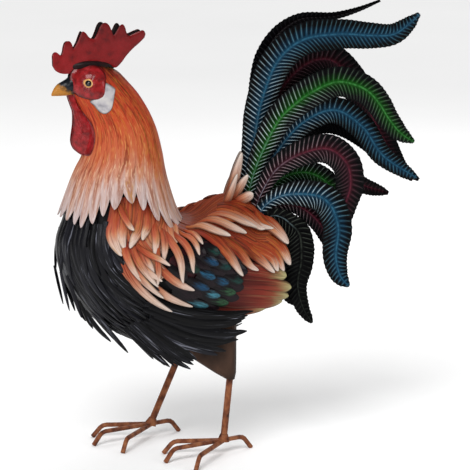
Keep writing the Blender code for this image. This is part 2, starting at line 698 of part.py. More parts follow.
def make_leg(side, material):
    """A leg rod butted on the weld that joins a long rod, front toe to back toe, and two side toes."""
    ankle, knee, top = ANKLE[side], KNEE[side], ankle_top(side)
    axis = (knee - top).normalized()
    rod(f"leg_{side}", [top + axis * SEAT_GAP, knee], LEG_ROD, material)
    bm = bmesh.new()
    bmesh.ops.create_cone(bm, cap_ends=True, segments=14, radius1=WELD_RADIUS * 1.15, radius2=WELD_RADIUS * 0.75,
                          depth=WELD_HEIGHT)
    turn = Vector((0, 0, 1)).rotation_difference(axis).to_matrix().to_4x4()
    bmesh.ops.transform(bm, matrix=Matrix.Translation(top - axis * WELD_HEIGHT / 2) @ turn, verts=bm.verts)
    foot = add_object(f"foot_{side}", bm, material)
    paths = [toe_path(ankle, "back", 0.0)[:0:-1] + toe_path(ankle, "middle", 0.0)[1:]]
    paths += [toe_path(ankle, toe, SIDE_TOE_SINK) for toe in ("left", "right")]
    toes = [ground_flat(rod(f"toe_{side}_{i}", path, TOE_ROD, None)) for i, path in enumerate(paths)]
    return union(foot, toes)


def ground_flat(toe):
    """Turns a toe rod into a mesh and cuts its end flat where it stands on the ground."""
    graph = bpy.context.evaluated_depsgraph_get()
    bm = bmesh.new()
    bm.from_mesh(bpy.data.meshes.new_from_object(toe.evaluated_get(graph)))
    bmesh.ops.remove_doubles(bm, verts=bm.verts, dist=0.01 * MM)
    cut = bmesh.ops.bisect_plane(bm, geom=bm.verts[:] + bm.edges[:] + bm.faces[:], plane_co=(0, 0, 0),
                                 plane_no=(0, 0, 1), clear_inner=True)
    edges = [e for e in cut["geom_cut"] if isinstance(e, bmesh.types.BMEdge)]
    bmesh.ops.holes_fill(bm, edges=edges)
    name = toe.name
    bpy.data.objects.remove(toe)
    return add_object(name, bm, None)


def centre_on_ground():
    """Moves everything so that the origin is under the middle of the bird's bounding box."""
    graph = bpy.context.evaluated_depsgraph_get()
    graph.update()
    points = []
    for obj in bpy.data.objects:
        if not obj.hide_render:
            evaluated = obj.evaluated_get(graph)
            points += [obj.matrix_world @ vertex.co for vertex in evaluated.to_mesh().vertices]
            evaluated.to_mesh_clear()
    low = Vector(map(min, zip(*points)))
    high = Vector(map(max, zip(*points)))
    for obj in bpy.data.objects:
        obj.location -= Vector(((low.x + high.x) / 2, (low.y + high.y) / 2, low.z))


def main():
    for obj in list(bpy.data.objects):
        bpy.data.objects.remove(obj)
    materials = {
        "black": paint("black_feather_paint", (0.012, 0.012, 0.014), 0.4),
        "orange": paint("hackle_paint", (0.62, 0.2, 0.07)),
        "red": paint("comb_red_paint", (0.36, 0.01, 0.012), 0.35),
        "horn": paint("beak_paint", (0.45, 0.2, 0.05), 0.35),
        "wing": paint("wing_paint", (0.02, 0.03, 0.045)),
        "blue": paint("blue_tail_paint", (0.01, 0.09, 0.14), 0.3),
        "green": paint("green_tail_paint", (0.01, 0.08, 0.02), 0.3),
        "wine": paint("wine_tail_paint", (0.08, 0.01, 0.025), 0.3),
        "dark": paint("dark_tail_paint", (0.01, 0.01, 0.012), 0.35),
        "thigh": paint("thigh_paint", (0.12, 0.045, 0.02), 0.5),
        "rod": paint("leg_paint", (0.28, 0.08, 0.03), 0.5),
    }
    body_clearance = make_body(materials)
    make_head(materials)
    make_shoulders(materials, body_clearance)
    make_flanks(materials)
    make_wings(materials)
    make_saddle(materials)
    make_tail(materials, body_clearance)
    for side in ("left", "right"):
        make_thigh(side, materials["thigh"], body_clearance)
        make_leg(side, materials["rod"])
    centre_on_ground()


main()
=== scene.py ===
import math

import bpy
import bmesh
import numpy as np
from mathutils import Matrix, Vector


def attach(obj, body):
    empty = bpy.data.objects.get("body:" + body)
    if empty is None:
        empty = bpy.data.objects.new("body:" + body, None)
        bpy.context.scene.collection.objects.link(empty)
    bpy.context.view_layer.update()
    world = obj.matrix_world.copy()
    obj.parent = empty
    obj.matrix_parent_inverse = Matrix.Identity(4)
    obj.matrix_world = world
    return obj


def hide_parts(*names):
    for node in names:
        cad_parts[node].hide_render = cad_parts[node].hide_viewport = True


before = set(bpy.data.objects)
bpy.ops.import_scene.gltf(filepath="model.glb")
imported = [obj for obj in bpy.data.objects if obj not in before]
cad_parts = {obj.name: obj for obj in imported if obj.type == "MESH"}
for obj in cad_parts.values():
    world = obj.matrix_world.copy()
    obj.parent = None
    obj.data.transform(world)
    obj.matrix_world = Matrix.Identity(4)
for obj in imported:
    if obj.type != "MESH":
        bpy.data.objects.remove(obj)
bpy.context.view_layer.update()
draw = np.random.default_rng(11)   # one seeded source for every scatter

# The bird is drawn in millimetres, and moved over the middle of its feet when it is placed
overFeet = np.array((-61.46, 18.39, 0.0))
millimetre = 0.001
signs = {"left": -1, "right": 1}   # which way along Y each of the bird's sides faces
stripSteps = 24   # places along a strip
weldDistance = 0.00002

# Skins, ring by ring: (breast x, breast z, back x, back z, half width)
bodySkin = np.array([
    (-130, 304.7, -29, 304.7, 43), (-139, 268, -16, 268, 52), (-147, 240, -1, 262, 59),
    (-141, 207, 13, 265, 64), (-123, 176, 28, 275, 66), (-95, 150, 42, 280, 66), (-60, 134, 55, 278, 64),
    (-20, 128, 66, 272, 60), (18, 129, 76, 262, 54), (48, 144, 85, 251, 45), (72, 170, 93, 237, 34),
    (87, 194, 98, 222, 20),
], float)
flankSkin = np.vstack([bodySkin[:8], np.array([
    (18, 129, 76, 264, 57), (55, 137, 98, 260, 56), (85, 150, 118, 250, 54), (112, 160, 136, 238, 51)], float)])
neckSkin = np.array([
    (-152, 250, -2, 250, 63), (-146, 276, -14, 276, 57), (-136, 305, -23, 305, 49), (-129, 322, -27, 322, 44),
    (-120, 340, -30, 340, 39), (-115, 364, -36, 364, 34), (-121, 385, -45, 385, 30), (-130, 404, -57, 404, 26),
    (-133, 419, -71, 419, 22), (-129, 431, -84, 431, 17), (-119, 438, -95, 438, 9),
], float)


def curveThrough(points, t):   # smooth curve, t counts the points
    points = np.asarray(points, float)
    t = np.asarray(t, float)
    i = np.clip(t.astype(int), 0, len(points) - 2)
    f = (t - i)[..., None]
    padded = np.vstack([2 * points[0] - points[1], points, 2 * points[-1] - points[-2]])
    a, b, c, d = (padded[i + k] for k in range(4))
    return 0.5 * (2 * b + (c - a) * f + (2 * a - 5 * b + 4 * c - d) * f ** 2 + (3 * b - a - 3 * c + d) * f ** 3)


def evenly(points, count):   # places along the smooth curve, its points evenly far apart in t
    return curveThrough(points, np.linspace(0, len(points) - 1, count))


def lengthsOf(line):   # how far along a line each of its points is
    return np.concatenate([[0], np.cumsum(np.linalg.norm(np.diff(line, axis=0), axis=1))])


def readAlong(at, places, rows):
    return np.stack([np.interp(at, places, column) for column in rows.T], 1)


def skinSpot(skin, s, angle):
    outX, outZ, inX, inZ, half = np.moveaxis(curveThrough(skin, s), -1, 0)
    turn = np.radians(angle)
    return np.stack([(outX + inX) / 2 + (outX - inX) / 2 * np.cos(turn), -half * np.sin(turn),
                     (outZ + inZ) / 2 + (outZ - inZ) / 2 * np.cos(turn)], -1)


def outSign(skin):   # the cross product points in on a skin whose rings climb
    return 1 if skin[0, 1] > skin[-1, 1] else -1


def onSkin(skin, s, angle, lift):   # places lifted off a skin, and the skin's normals there
    s, angle, lift = np.broadcast_arrays(*(np.asarray(v, float) for v in (s, angle, lift)))
    normal = np.cross(skinSpot(skin, s + 0.05, angle) - skinSpot(skin, s - 0.05, angle),
                      skinSpot(skin, s, angle + 1) - skinSpot(skin, s, angle - 1))
    normal /= np.linalg.norm(normal, axis=-1, keepdims=True) * outSign(skin)
    return skinSpot(skin, s, angle) + normal * lift[..., None], normal


def unit(vectors):
    return vectors / np.maximum(np.linalg.norm(vectors, axis=-1, keepdims=True), 1e-9)


# Small modelling helpers
def deselectAll():
    if bpy.context.object and bpy.context.object.mode != "OBJECT":
        bpy.ops.object.mode_set(mode="OBJECT")
    bpy.ops.object.select_all(action="DESELECT")


def pick(*things):
    deselectAll()
    for thing in things:
        thing.select_set(True)
    bpy.context.view_layer.objects.active = things[0]


def readPoints(thing):
    flat = np.empty(len(thing.data.vertices) * 3)
    thing.data.vertices.foreach_get("co", flat)
    return flat.reshape(-1, 3)


def writePoints(thing, points):
    thing.data.vertices.foreach_set("co", np.ascontiguousarray(points, float).ravel())
    thing.data.update()


def placeInBird(thing, points):
    writePoints(thing, (points + overFeet) * millimetre)


def newGrid(name, columns, rows):   # also gives how far across and along, from 0 to 1, each of its points is
    deselectAll()
    bpy.ops.mesh.primitive_grid_add(x_subdivisions=columns, y_subdivisions=rows, size=2)
    grid = bpy.context.object
    grid.name = grid.data.name = name
    points = readPoints(grid)
    return grid, (points[:, 0] + 1) / 2, (points[:, 1] + 1) / 2


def applyModifier(thing, kind, **settings):
    pick(thing)
    bpy.ops.object.modifier_add(type=kind)
    modifier = thing.modifiers[-1]
    for key, value in settings.items():
        setattr(modifier, key, value)
    bpy.ops.object.modifier_apply(modifier=modifier.name)


def closeShell(thing):
    pick(thing)
    bpy.ops.object.mode_set(mode="EDIT")
    bpy.ops.mesh.select_all(action="SELECT")
    bpy.ops.mesh.remove_doubles(threshold=weldDistance)
    bpy.ops.mesh.dissolve_degenerate(threshold=weldDistance / 2)
    bpy.ops.mesh.select_all(action="SELECT")
    bpy.ops.mesh.normals_make_consistent(inside=False)
    bpy.ops.object.mode_set(mode="OBJECT")


def setPointValues(thing, name, values):
    layer = thing.data.attributes.get(name) or thing.data.attributes.new(name, "FLOAT", "POINT")
    layer.data.foreach_set("value", np.ascontiguousarray(values, float))


def setTone(thing, tone):
    setPointValues(thing, "tone", np.full(len(thing.data.vertices), float(tone)))


def scaleUv(thing, across, along, start=0.0):
    uv = thing.data.uv_layers[0].data
    values = np.empty(len(uv) * 2)
    uv.foreach_get("uv", values)
    values = values.reshape(-1, 2) * (across, along) + (0, start)
    uv.foreach_set("uv", values.ravel())


def joinAll(name, parts):
    pick(*parts)
    bpy.ops.object.join()
    whole = bpy.context.object
    whole.name = whole.data.name = name
    return whole


def finishPiece(thing, material, replaced=(), degrees=35):
    thing.data.materials.clear()
    thing.data.materials.append(material)
    pick(thing)
    bpy.ops.object.shade_smooth_by_angle(angle=math.radians(degrees))
    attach(thing, "root")
    if replaced:
        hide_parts(*replaced)


# Feather blanks: x in half widths, y from root 0 to tip 1, z in millimetres
blankLooks = {
    "slimBlank": {
        "columns": 4, "rows": 16, "tipFineness": 1.4, "sheet": 0.9, "crown": 1.1, "rib": 0.0,
        "outline": [(0, 0.75), (0.2, 0.95), (0.5, 1.0), (0.75, 0.8), (0.9, 0.5), (0.97, 0.26), (1, 0.08)]},
    "lanceBlank": {
        "columns": 6, "rows": 20, "tipFineness": 1.5, "sheet": 1.1, "crown": 1.2, "rib": 0.25,
        "outline": [(0, 0.8), (0.3, 1.0), (0.55, 0.94), (0.75, 0.76), (0.9, 0.5), (0.97, 0.3), (1, 0.1)]},
    "broadBlank": {
        "columns": 8, "rows": 20, "tipFineness": 1.7, "sheet": 1.1, "crown": 1.4, "rib": 0.2,
        "outline": [(0, 0.9), (0.4, 1.0), (0.75, 0.95), (0.9, 0.75), (0.97, 0.45), (1, 0.12)]},
    "scaleBlank": {
        "columns": 6, "rows": 10, "tipFineness": 1.5, "sheet": 0.7, "crown": 0.9, "rib": 0.15,
        "outline": [(0, 0.7), (0.35, 1.0), (0.65, 0.98), (0.85, 0.74), (0.96, 0.4), (1, 0.12)]},
}


def cutBlank(name, look):
    blank, _, along = newGrid(name, look["columns"], look["rows"])
    points = readPoints(blank)
    points[:, 1] = 1 - (1 - along) ** look["tipFineness"]
    writePoints(blank, points)
    bpy.ops.object.mode_set(mode="EDIT")
    bpy.ops.mesh.select_mode(type="VERT")
    cage = bmesh.from_edit_mesh(blank.data)
    heights = sorted({round(v.co.y, 5) for v in cage.verts})
    widths = np.interp(heights, *zip(*look["outline"]))
    for height, width in zip(heights, widths):   # draw each row in to the feather's outline
        for vert in cage.verts:
            vert.select = abs(vert.co.y - height) < 1e-4
        cage.select_flush_mode()
        bmesh.update_edit_mesh(blank.data)
        bpy.ops.transform.resize(value=(width, 1, 1), center_override=(0, height, 0))
    bpy.ops.object.mode_set(mode="OBJECT")
    applyModifier(blank, "SOLIDIFY", thickness=look["sheet"], offset=-1)   # flat first, and then it is arched
    points = readPoints(blank)
    reach = np.interp(points[:, 1], *zip(*look["outline"]))
    share = np.abs(points[:, 0]) / reach
    points[:, 2] += look["crown"] * (1 - share ** 2) * reach + look["rib"] * np.exp(-(share / 0.16) ** 2) * reach
    writePoints(blank, points)
    blank.hide_render = True
    return blank


blanks = {name: cutBlank(name, look) for name, look in blankLooks.items()}


def bendCopy(blank, spots, normals, halfWidth, tone):
    copy = blanks[blank].copy()
    copy.data = blanks[blank].data.copy()
    copy.hide_render = False
    bpy.context.collection.objects.link(copy)
    flat = readPoints(copy)
    steps = np.linspace(0, 1, len(spots))
    ahead = np.gradient(spots, axis=0)
    across = unit(np.cross(ahead, normals))
    up = unit(np.cross(across, ahead))
    spots, across, up = (readAlong(flat[:, 1], steps, rows) for rows in (spots, across, up))
    placeInBird(copy, spots + across * (flat[:, :1] * halfWidth) + up * flat[:, 2:3])
    setTone(copy, tone)
    return copy


def layOnSkin(blank, skin, route, halfWidth, tone, side, sink=0.0):   # route: (station, angle, lift) to the tip
    s, angle, lift = evenly(route, stripSteps).T
    lift = lift - sink * np.clip(1 - np.linspace(0, 1, stripSteps) / 0.45, 0, 1)   # the root is in the sheet below
    spots, normals = onSkin(skin, s, -signs[side] * angle, lift)
    return bendCopy(blank, spots, normals, halfWidth, tone)


def layCover(skin, look, side):   # one sheet under the strips
    cover, across, along = newGrid("cover", 30, 36)
    s = look["stations"][0] + (look["stations"][1] - look["stations"][0]) * along
    low, high = (np.interp(s, *zip(*look[edge])) for edge in ("low", "high"))
    angle = low + (high - low) * across
    stand = np.clip((s - look["rise"][0]) / (look["rise"][1] - look["rise"][0]), 0, 1)
    front, rear = look["lifts"]   # close to the skin in front, at its full lift behind
    stand = front + (rear - front) * stand ** 2 * (3 - 2 * stand)
    spots, _ = onSkin(skin, s, -signs[side] * angle, stand + 0.3 * np.sin(across * 40))
    placeInBird(cover, spots)
    scaleUv(cover, 9.0, look["paint"][1] - look["paint"][0], look["paint"][0])
    applyModifier(cover, "SOLIDIFY", thickness=millimetre, offset=0)
    closeShell(cover)
    setTone(cover, 0.6)
    return cover


# Materials
def tint(code):   # an sRGB hex code as a linear colour
    parts = [int(code[i:i + 2], 16) / 255 for i in (0, 2, 4)]
    return tuple(p / 12.92 if p < 0.04045 else ((p + 0.055) / 1.055) ** 2.4 for p in parts) + (1,)


def feed(tree, socket, value):
    if isinstance(value, bpy.types.NodeSocket):
        tree.links.new(value, socket)
    else:
        socket.default_value = value


def putNode(tree, kind, settings=None, **inputs):   # an input is named, or numbered as in i0
    node = tree.nodes.new("ShaderNode" + kind)
    for key, value in (settings or {}).items():
        setattr(node, key, value)
    for key, value in inputs.items():
        feed(tree, node.inputs[int(key[1:]) if key[1:].isdigit() else key.replace("_", " ")], value)
    return node


def maths(tree, operation, a, b=0.0):
    return putNode(tree, "Math", {"operation": operation}, i0=a, i1=b).outputs[0]


def times(tree, first, *others):
    for other in others:
        first = maths(tree, "MULTIPLY", first, other)
    return first


def swing(tree, noise, amount):   # noise about 0.5 as a swing about 0
    return times(tree, maths(tree, "SUBTRACT", noise, 0.5), amount)


def fromMiddle(tree, across):   # 0 down the middle of a feather and 1 at both edges
    return maths(tree, "ABSOLUTE", maths(tree, "SUBTRACT", times(tree, across, 2.0), 1.0))


def blendColours(tree, amount, a, b):
    return putNode(tree, "Mix", {"data_type": "RGBA"}, i0=amount, i6=a, i7=b).outputs[2]


def ramp(tree, amount, *stops):
    node = putNode(tree, "ValToRGB", i0=amount)
    bar = node.color_ramp.elements
    while len(bar) < len(stops):
        bar.new(0.5)
    for element, (place, colour) in zip(bar, stops):
        element.position = place
        element.color = tint(colour) if isinstance(colour, str) else (colour, colour, colour, 1)
    return node.outputs[0]


def makeBrushGroup():   # long brush marks and broad patches that run along a feather's own UV map
    group = bpy.data.node_groups.new("brushMarks", "ShaderNodeTree")
    for label in ("Across", "Along", "Patch Across", "Patch Along"):
        group.interface.new_socket(label, in_out="INPUT", socket_type="NodeSocketFloat")
    for label in ("Marks", "Hairs", "Patches", "Across", "Along", "Tone"):
        group.interface.new_socket(label, in_out="OUTPUT", socket_type="NodeSocketFloat")
    given, result = group.nodes.new("NodeGroupInput"), group.nodes.new("NodeGroupOutput")
    uv = putNode(group, "UVMap", {"uv_map": "UVMap"})
    split = putNode(group, "SeparateXYZ", i0=uv.outputs[0])
    tone = putNode(group, "Attribute", {"attribute_name": "tone"}).outputs[2]
    shift = times(group, tone, 37.0)
    layers = (("Marks", "", 4.0, 1.0), ("Hairs", "", 2.0, 2.1), ("Patches", "Patch ", 2.0, 1.0))
    for label, prefix, detail, finer in layers:
        acrossSpot = times(group, split.outputs[0], given.outputs[prefix + "Across"], finer)
        alongSpot = times(group, split.outputs[1], given.outputs[prefix + "Along"], finer * 0.8)
        spot = putNode(group, "CombineXYZ", i0=acrossSpot, i1=alongSpot, i2=maths(group, "ADD", shift, finer * 5))
        noise = putNode(group, "TexNoise", i0=spot.outputs[0], Scale=1.0, Detail=detail, Roughness=0.6)
        group.links.new(noise.outputs[0], result.inputs[label])
    for label, value in (("Across", split.outputs[0]), ("Along", split.outputs[1]), ("Tone", tone)):
        group.links.new(value, result.inputs[label])
    return group


brushGroup = makeBrushGroup()


def startMaterial(name, **sockets):
    material = bpy.data.materials.new(name)
    material.use_nodes = True
    shader = material.node_tree.nodes["Principled BSDF"]
    shader.inputs["Specular IOR Level"].default_value = 0.1
    for key, value in sockets.items():
        shader.inputs[key.replace("_", " ")].default_value = value
    return material, material.node_tree


def finishMaterial(material, colour, height, strength, distance):
    tree = material.node_tree
    shader = tree.nodes["Principled BSDF"]
    tree.links.new(colour, shader.inputs["Base Color"])
    bump = putNode(tree, "Bump", Height=height, Strength=strength, Distance=distance)
    tree.links.new(bump.outputs[0], shader.inputs["Normal"])
    return material


def useBrush(tree, *sizes):
    node = tree.nodes.new("ShaderNodeGroup")
    node.node_tree = brushGroup
    for label, value in zip(("Across", "Along", "Patch Across", "Patch Along"), sizes):
        node.inputs[label].default_value = value
    return node.outputs


def featherPaint(name, look):
    material, tree = startMaterial(name, Roughness=0.45)
    marks = useBrush(tree, *look["brush"])
    place = marks["Along"]   # 0 at the root and 1 at the tip
    for label, amount in zip(("Marks", "Patches", "Tone"), (*look["wanders"], 0.1)):
        place = maths(tree, "ADD", place, swing(tree, marks[label], amount))
    colour = ramp(tree, place, *look["colours"])
    strokes = ramp(tree, marks["Marks"], (0.5, 0.0), (0.62, 1.0))
    colour = blendColours(tree, times(tree, strokes, look["strength"][0]), colour, ramp(tree, place, *look["dark"]))
    hairs = ramp(tree, marks["Hairs"], (0.54, 0.0), (0.66, 1.0))
    colour = blendColours(tree, times(tree, hairs, look["strength"][1]), colour, ramp(tree, place, *look["light"]))
    if "ochre" in look:   # dabs of a yellower paint
        dabs = times(tree, ramp(tree, marks["Patches"], (0.46, 0.0), (0.58, 1.0)),
                     ramp(tree, marks["Hairs"], (0.38, 1.0), (0.5, 0.0)), look["ochre"])
        colour = blendColours(tree, dabs, colour, tint("ad7c2c"))
    # a dark line along both edges, stronger on the free end: painted shade where the strips overlap one another
    side = fromMiddle(tree, maths(tree, "FRACT", marks["Across"]))
    edge = times(tree, ramp(tree, side, (0.66, 0.0), (0.98, look["rim"])),
                 ramp(tree, marks["Along"], (0.3, 0.6), (0.7, 1.0)))
    colour = blendColours(tree, edge, colour, tint("2c110c"))
    relief = maths(tree, "ADD", marks["Marks"], times(tree, marks["Hairs"], 0.6))
    return finishMaterial(material, colour, relief, 0.35, 0.0006)


# Colours run from the root to the tip, except on the neck, where they run up from its hem
hacklePaint = featherPaint("hacklePaint", {
    "colours": [(0.0, "7c2a17"), (0.14, "943b27"), (0.28, "a7563e"), (0.4, "b07a60"), (0.54, "c0a191"),
                (0.9, "c5b7ae")],
    "dark": [(0.0, "40130d"), (0.4, "6f2e1f"), (0.6, "9d7a69"), (1.0, "b09e93")],
    "light": [(0.0, "a8532e"), (0.35, "bb8158"), (0.55, "ccb5a5"), (1.0, "d3c8be")],
    "strength": (0.85, 0.65), "brush": (6.0, 2.0, 2.0, 1.6), "wanders": (0.3, 0.22), "rim": 0.7, "ochre": 0.45,
})
# the near-black at the very top (0.95) is painted shadow under the comb
neckPaint = featherPaint("neckPaint", {
    "colours": [(0.0, "b09f9d"), (0.09, "b29790"), (0.2, "b07a63"), (0.36, "ad5738"), (0.55, "ac3c23"),
                (0.78, "9e291a"), (0.9, "741b13"), (0.95, "120908")],
    "dark": [(0.0, "97807b"), (0.15, "8f6250"), (0.4, "782c18"), (0.7, "681a12"), (0.9, "3d0f0b"), (0.95, "0a0606")],
    "light": [(0.0, "c6bab7"), (0.2, "cba88e"), (0.4, "c58a4a"), (0.7, "b65f32"),
              (0.92, "813a24"), (0.95, "180d0b")],
    "strength": (0.85, 0.75), "brush": (95.0, 7.5, 12.0, 2.2), "wanders": (0.34, 0.24), "rim": 0.0, "ochre": 0.48,
})
saddlePaint = featherPaint("saddlePaint", {
    "colours": [(0.0, "6a2a1d"), (0.18, "782516"), (0.36, "86301b"), (0.5, "93452a"), (0.62, "aa7559"),
                (0.76, "bda498"), (0.92, "c3b7ae")],
    "dark": [(0.0, "38120d"), (0.5, "571c11"), (0.75, "92695a"), (1.0, "a8968a")],
    "light": [(0.0, "9a5033"), (0.4, "a8602b"), (0.65, "c2a089"), (1.0, "cfc4ba")],
    "strength": (0.9, 0.6), "brush": (6.0, 2.0, 2.0, 1.6), "wanders": (0.3, 0.22), "rim": 0.7, "ochre": 0.3,
})
flightPaint = featherPaint("flightPaint", {
    "colours": [(0.0, "2a1112"), (0.22, "4c1d1a"), (0.42, "70291f"), (0.56, "7a3c2a"), (0.7, "8a7450"),
                (0.86, "a09a6e")],
    "dark": [(0.0, "150b0c"), (0.5, "3c1412"), (0.8, "584428"), (1.0, "766d48")],
    "light": [(0.0, "45221f"), (0.6, "98684a"), (1.0, "b8b386")],
    "strength": (0.8, 0.5), "brush": (7.0, 1.1, 2.0, 1.2), "wanders": (0.5, 0.25), "rim": 0.85,
})


def makeBlackPaint():
    material, tree = startMaterial("blackFeatherPaint", Roughness=0.28, Specular_IOR_Level=0.14)
    marks = useBrush(tree, 5.0, 2.4, 2.0, 1.6)
    base = ramp(tree, marks["Tone"], (0.0, "040405"), (0.6, "0d0d11"), (1.0, "1b1b21"))
    # grey streaks along the strips: dry-brushed paint, partly painted highlights
    streakMarks = ramp(tree, marks["Marks"], (0.57, 0.0), (0.66, 1.0))
    dryBrushAndHighlights = times(tree, streakMarks, ramp(tree, marks["Patches"], (0.48, 0.06), (0.62, 1.0)), 0.74)
    return finishMaterial(material, blendColours(tree, dryBrushAndHighlights, base, tint("80828e")), marks["Marks"], 0.5, 0.0009)


def makeScalePaint():   # the wing's marks: the tone picks the dye
    material, tree = startMaterial("scalePaint", Roughness=0.34, Coat_Weight=0.12)
    marks = useBrush(tree, 5.0, 2.5, 1.5, 1.0)
    dye = ramp(tree, marks["Tone"], (0.0, "123d5c"), (0.12, "1c506c"), (0.32, "3f7a8a"), (0.5, "103533"),
               (0.6, "133127"), (0.76, "2a4f33"), (0.95, "1c1117"))
    wobble = swing(tree, marks["Marks"], 1.1)
    strokes = ramp(tree, marks["Hairs"], (0.4, 0.35), (0.56, 1.0))
    middle = ramp(tree, maths(tree, "ADD", fromMiddle(tree, marks["Across"]), wobble), (0.35, 1.0), (0.9, 0.0))
    tip = ramp(tree, maths(tree, "ADD", marks["Along"], wobble), (0.2, 0.0), (0.45, 1.0), (0.85, 0.9), (1.0, 0.2))
    colour = blendColours(tree, times(tree, middle, strokes, tip), tint("0e0a0d"), dye)
    return finishMaterial(material, colour, marks["Marks"], 0.3, 0.0006)


def objectNoise(tree, scale, detail=3.0, stretch=(1, 1, 1)):
    coords = putNode(tree, "TexCoord")
    mapping = putNode(tree, "Mapping", Vector=coords.outputs["Object"], Scale=stretch)
    return putNode(tree, "TexNoise", i0=mapping.outputs[0], Scale=scale, Detail=detail).outputs[0]


def skinPaint(name, stops, scale, roughness, coat, bump, bumpScale, stretch=(1, 1, 1), toneStops=None):
    material, tree = startMaterial(name, Roughness=roughness, Coat_Weight=coat, Coat_Roughness=0.14)
    colour = ramp(tree, objectNoise(tree, scale, 4.0, stretch), *stops)
    if toneStops:   # the tone runs from the middle of a piece to its rim and back
        tone = putNode(tree, "Attribute", {"attribute_name": "tone"})
        colour = blendColours(tree, ramp(tree, tone.outputs[2], *toneStops), colour, tint("120708"))
    return finishMaterial(material, colour, objectNoise(tree, bumpScale, 3.0, stretch), bump, millimetre)


blackPaint = makeBlackPaint()
scalePaint = makeScalePaint()
combPaint = skinPaint("combPaint", [(0.3, "520b0e"), (0.46, "740f11"), (0.7, "81161a")],
                      90.0, 0.36, 0.18, 0.6, 260.0, toneStops=[(0.05, 0.0), (0.42, 0.5), (0.55, 1.0)])
facePaint = skinPaint("facePaint", [(0.3, "5e0d11"), (0.5, "801416"), (0.72, "9a2329")],
                      150.0, 0.28, 0.45, 0.9, 420.0, toneStops=[(0.72, 0.0), (0.95, 0.75), (1.0, 1.0)])
lobePaint = skinPaint("lobePaint", [(0.3, "86848a"), (0.48, "aaa6a9"), (0.7, "bcb8b4")],
                      110.0, 0.42, 0.1, 0.25, 200.0, toneStops=[(0.72, 0.0), (0.98, 0.75), (1.0, 0.9)])
eyePaint = skinPaint("eyePaint", [(0.0, "030303"), (1.0, "0b0a08")], 50.0, 0.06, 0.8, 0.02, 50.0)
eyeRingPaint = skinPaint("eyeRingPaint", [(0.3, "a9743e"), (0.7, "dcae74")], 300.0, 0.3, 0.2, 0.1, 300.0)
thighPaint = skinPaint("thighPaint", [(0.32, "1d1613"), (0.5, "443127"), (0.7, "66482f")],
                      22.0, 0.5, 0.0, 0.3, 160.0, (1, 1, 0.5))
rodPaint = skinPaint("rodPaint", [(0.3, "3a1b12"), (0.5, "74422a"), (0.72, "93603f")],
                      130.0, 0.48, 0.05, 0.7, 420.0, (1, 1, 0.8))
bodyPaint = skinPaint("bodyPaint", [(0.3, "09090a"), (0.7, "18181b")], 60.0, 0.5, 0.0, 0.3, 200.0)
# near-black paint for the cap under the comb: painted shadow
combShadowPaint = skinPaint("combShadowPaint", [(0.3, "0d0808"), (0.7, "241010")], 90.0, 0.45, 0.05, 0.4, 240.0)
wingPaint = skinPaint("wingPaint", [(0.3, "120a0c"), (0.5, "2e1116"), (0.75, "4e1b1e")], 60.0, 0.42, 0.1, 0.35, 200.0)


def makeBeakPaint():   # dark from the root and along the top, horn towards the tip and below
    material, tree = startMaterial("beakPaint", Roughness=0.3, Coat_Weight=0.2, Coat_Roughness=0.15)
    split = putNode(tree, "SeparateXYZ", i0=putNode(tree, "TexCoord").outputs["Object"])
    noise = objectNoise(tree, 220.0)
    height = times(tree, maths(tree, "SUBTRACT", split.outputs[2], 0.4128), 90.0)
    back = times(tree, maths(tree, "ADD", split.outputs[0], 0.2055), 55.0)
    dark = maths(tree, "ADD", maths(tree, "ADD", height, back), maths(tree, "SUBTRACT", noise, 0.5))
    colour = ramp(tree, dark, (0.0, "a8702c"), (0.3, "5a4022"), (0.5, "171d24"), (1.0, "0d1218"))
    return finishMaterial(material, colour, noise, 0.3, 0.0006)


def tailPaint(name, rib, web, band, barb, rootHighlight, edge="0b0b0d"):   # u is across, v counts the barbs
    material, tree = startMaterial(name, Roughness=0.36, Specular_IOR_Level=0.05)
    marks = useBrush(tree, 2.5, 0.6, 1.4, 0.1)
    outer = ramp(tree, marks["Across"], (0.499, 0.0), (0.501, 1.0))
    side = fromMiddle(tree, marks["Across"])
    share = putNode(tree, "Attribute", {"attribute_name": "share"}).outputs[2]   # 0 at the root and 1 at the tip
    spread = maths(tree, "ADD", side, swing(tree, marks["Patches"], 0.7))
    colour = ramp(tree, spread, (0.0, web), (0.26, web), (0.66, edge))
    strong = times(tree, outer, ramp(tree, side, (0.06, 1.0), (0.3, 0.0)),
                   ramp(tree, share, (0.25, 0.0), (0.45, 0.85), (0.8, 0.2)))
    colour = blendColours(tree, strong, colour, tint(band))
    wave = maths(tree, "PINGPONG", marks["Along"], 0.5)   # 0 between the barbs, 0.5 on the barb
    # painted shade in the grooves between the barbs
    groove = times(tree, ramp(tree, wave, (0.14, 1.0), (0.4, 0.0)), ramp(tree, side, (0.06, 0.0), (0.18, 0.8)))
    colour = blendColours(tree, groove, colour, tint("030304"))
    # light lines on the barbs: lighter paint on the ridges, partly painted highlights, brightest near the root
    light = times(tree, ramp(tree, wave, (0.4, 0.0), (0.47, 1.0)),
                  ramp(tree, side, (0.08, 0.2), (0.2, 1.0), (0.8, 0.7), (0.95, 0.1)),
                  ramp(tree, marks["Marks"], (0.32, 0.08), (0.54, 1.0)),
                  ramp(tree, share, (0.0, 1.0), (0.45, 0.95), (0.65, 0.5), (1.0, 0.55)))
    lines = blendColours(tree, ramp(tree, share, (0.12, 1.0), (0.42, 0.5), (0.58, 0.0)), tint(barb), tint(rootHighlight))
    colour = blendColours(tree, light, colour, lines)
    # the rib in its own colour, paler near the root as a painted highlight
    ribMask = times(tree, ramp(tree, side, (0.02, 0.75), (0.06, 0.0)),
                    ramp(tree, marks["Hairs"], (0.38, 0.25), (0.56, 1.0)))
    ribColour = blendColours(tree, ramp(tree, share, (0.1, 0.5), (0.35, 0.0)), tint(rib), tint("8aa6b2"))
    return finishMaterial(material, blendColours(tree, ribMask, colour, ribColour), marks["Hairs"], 0.15, 0.0005)


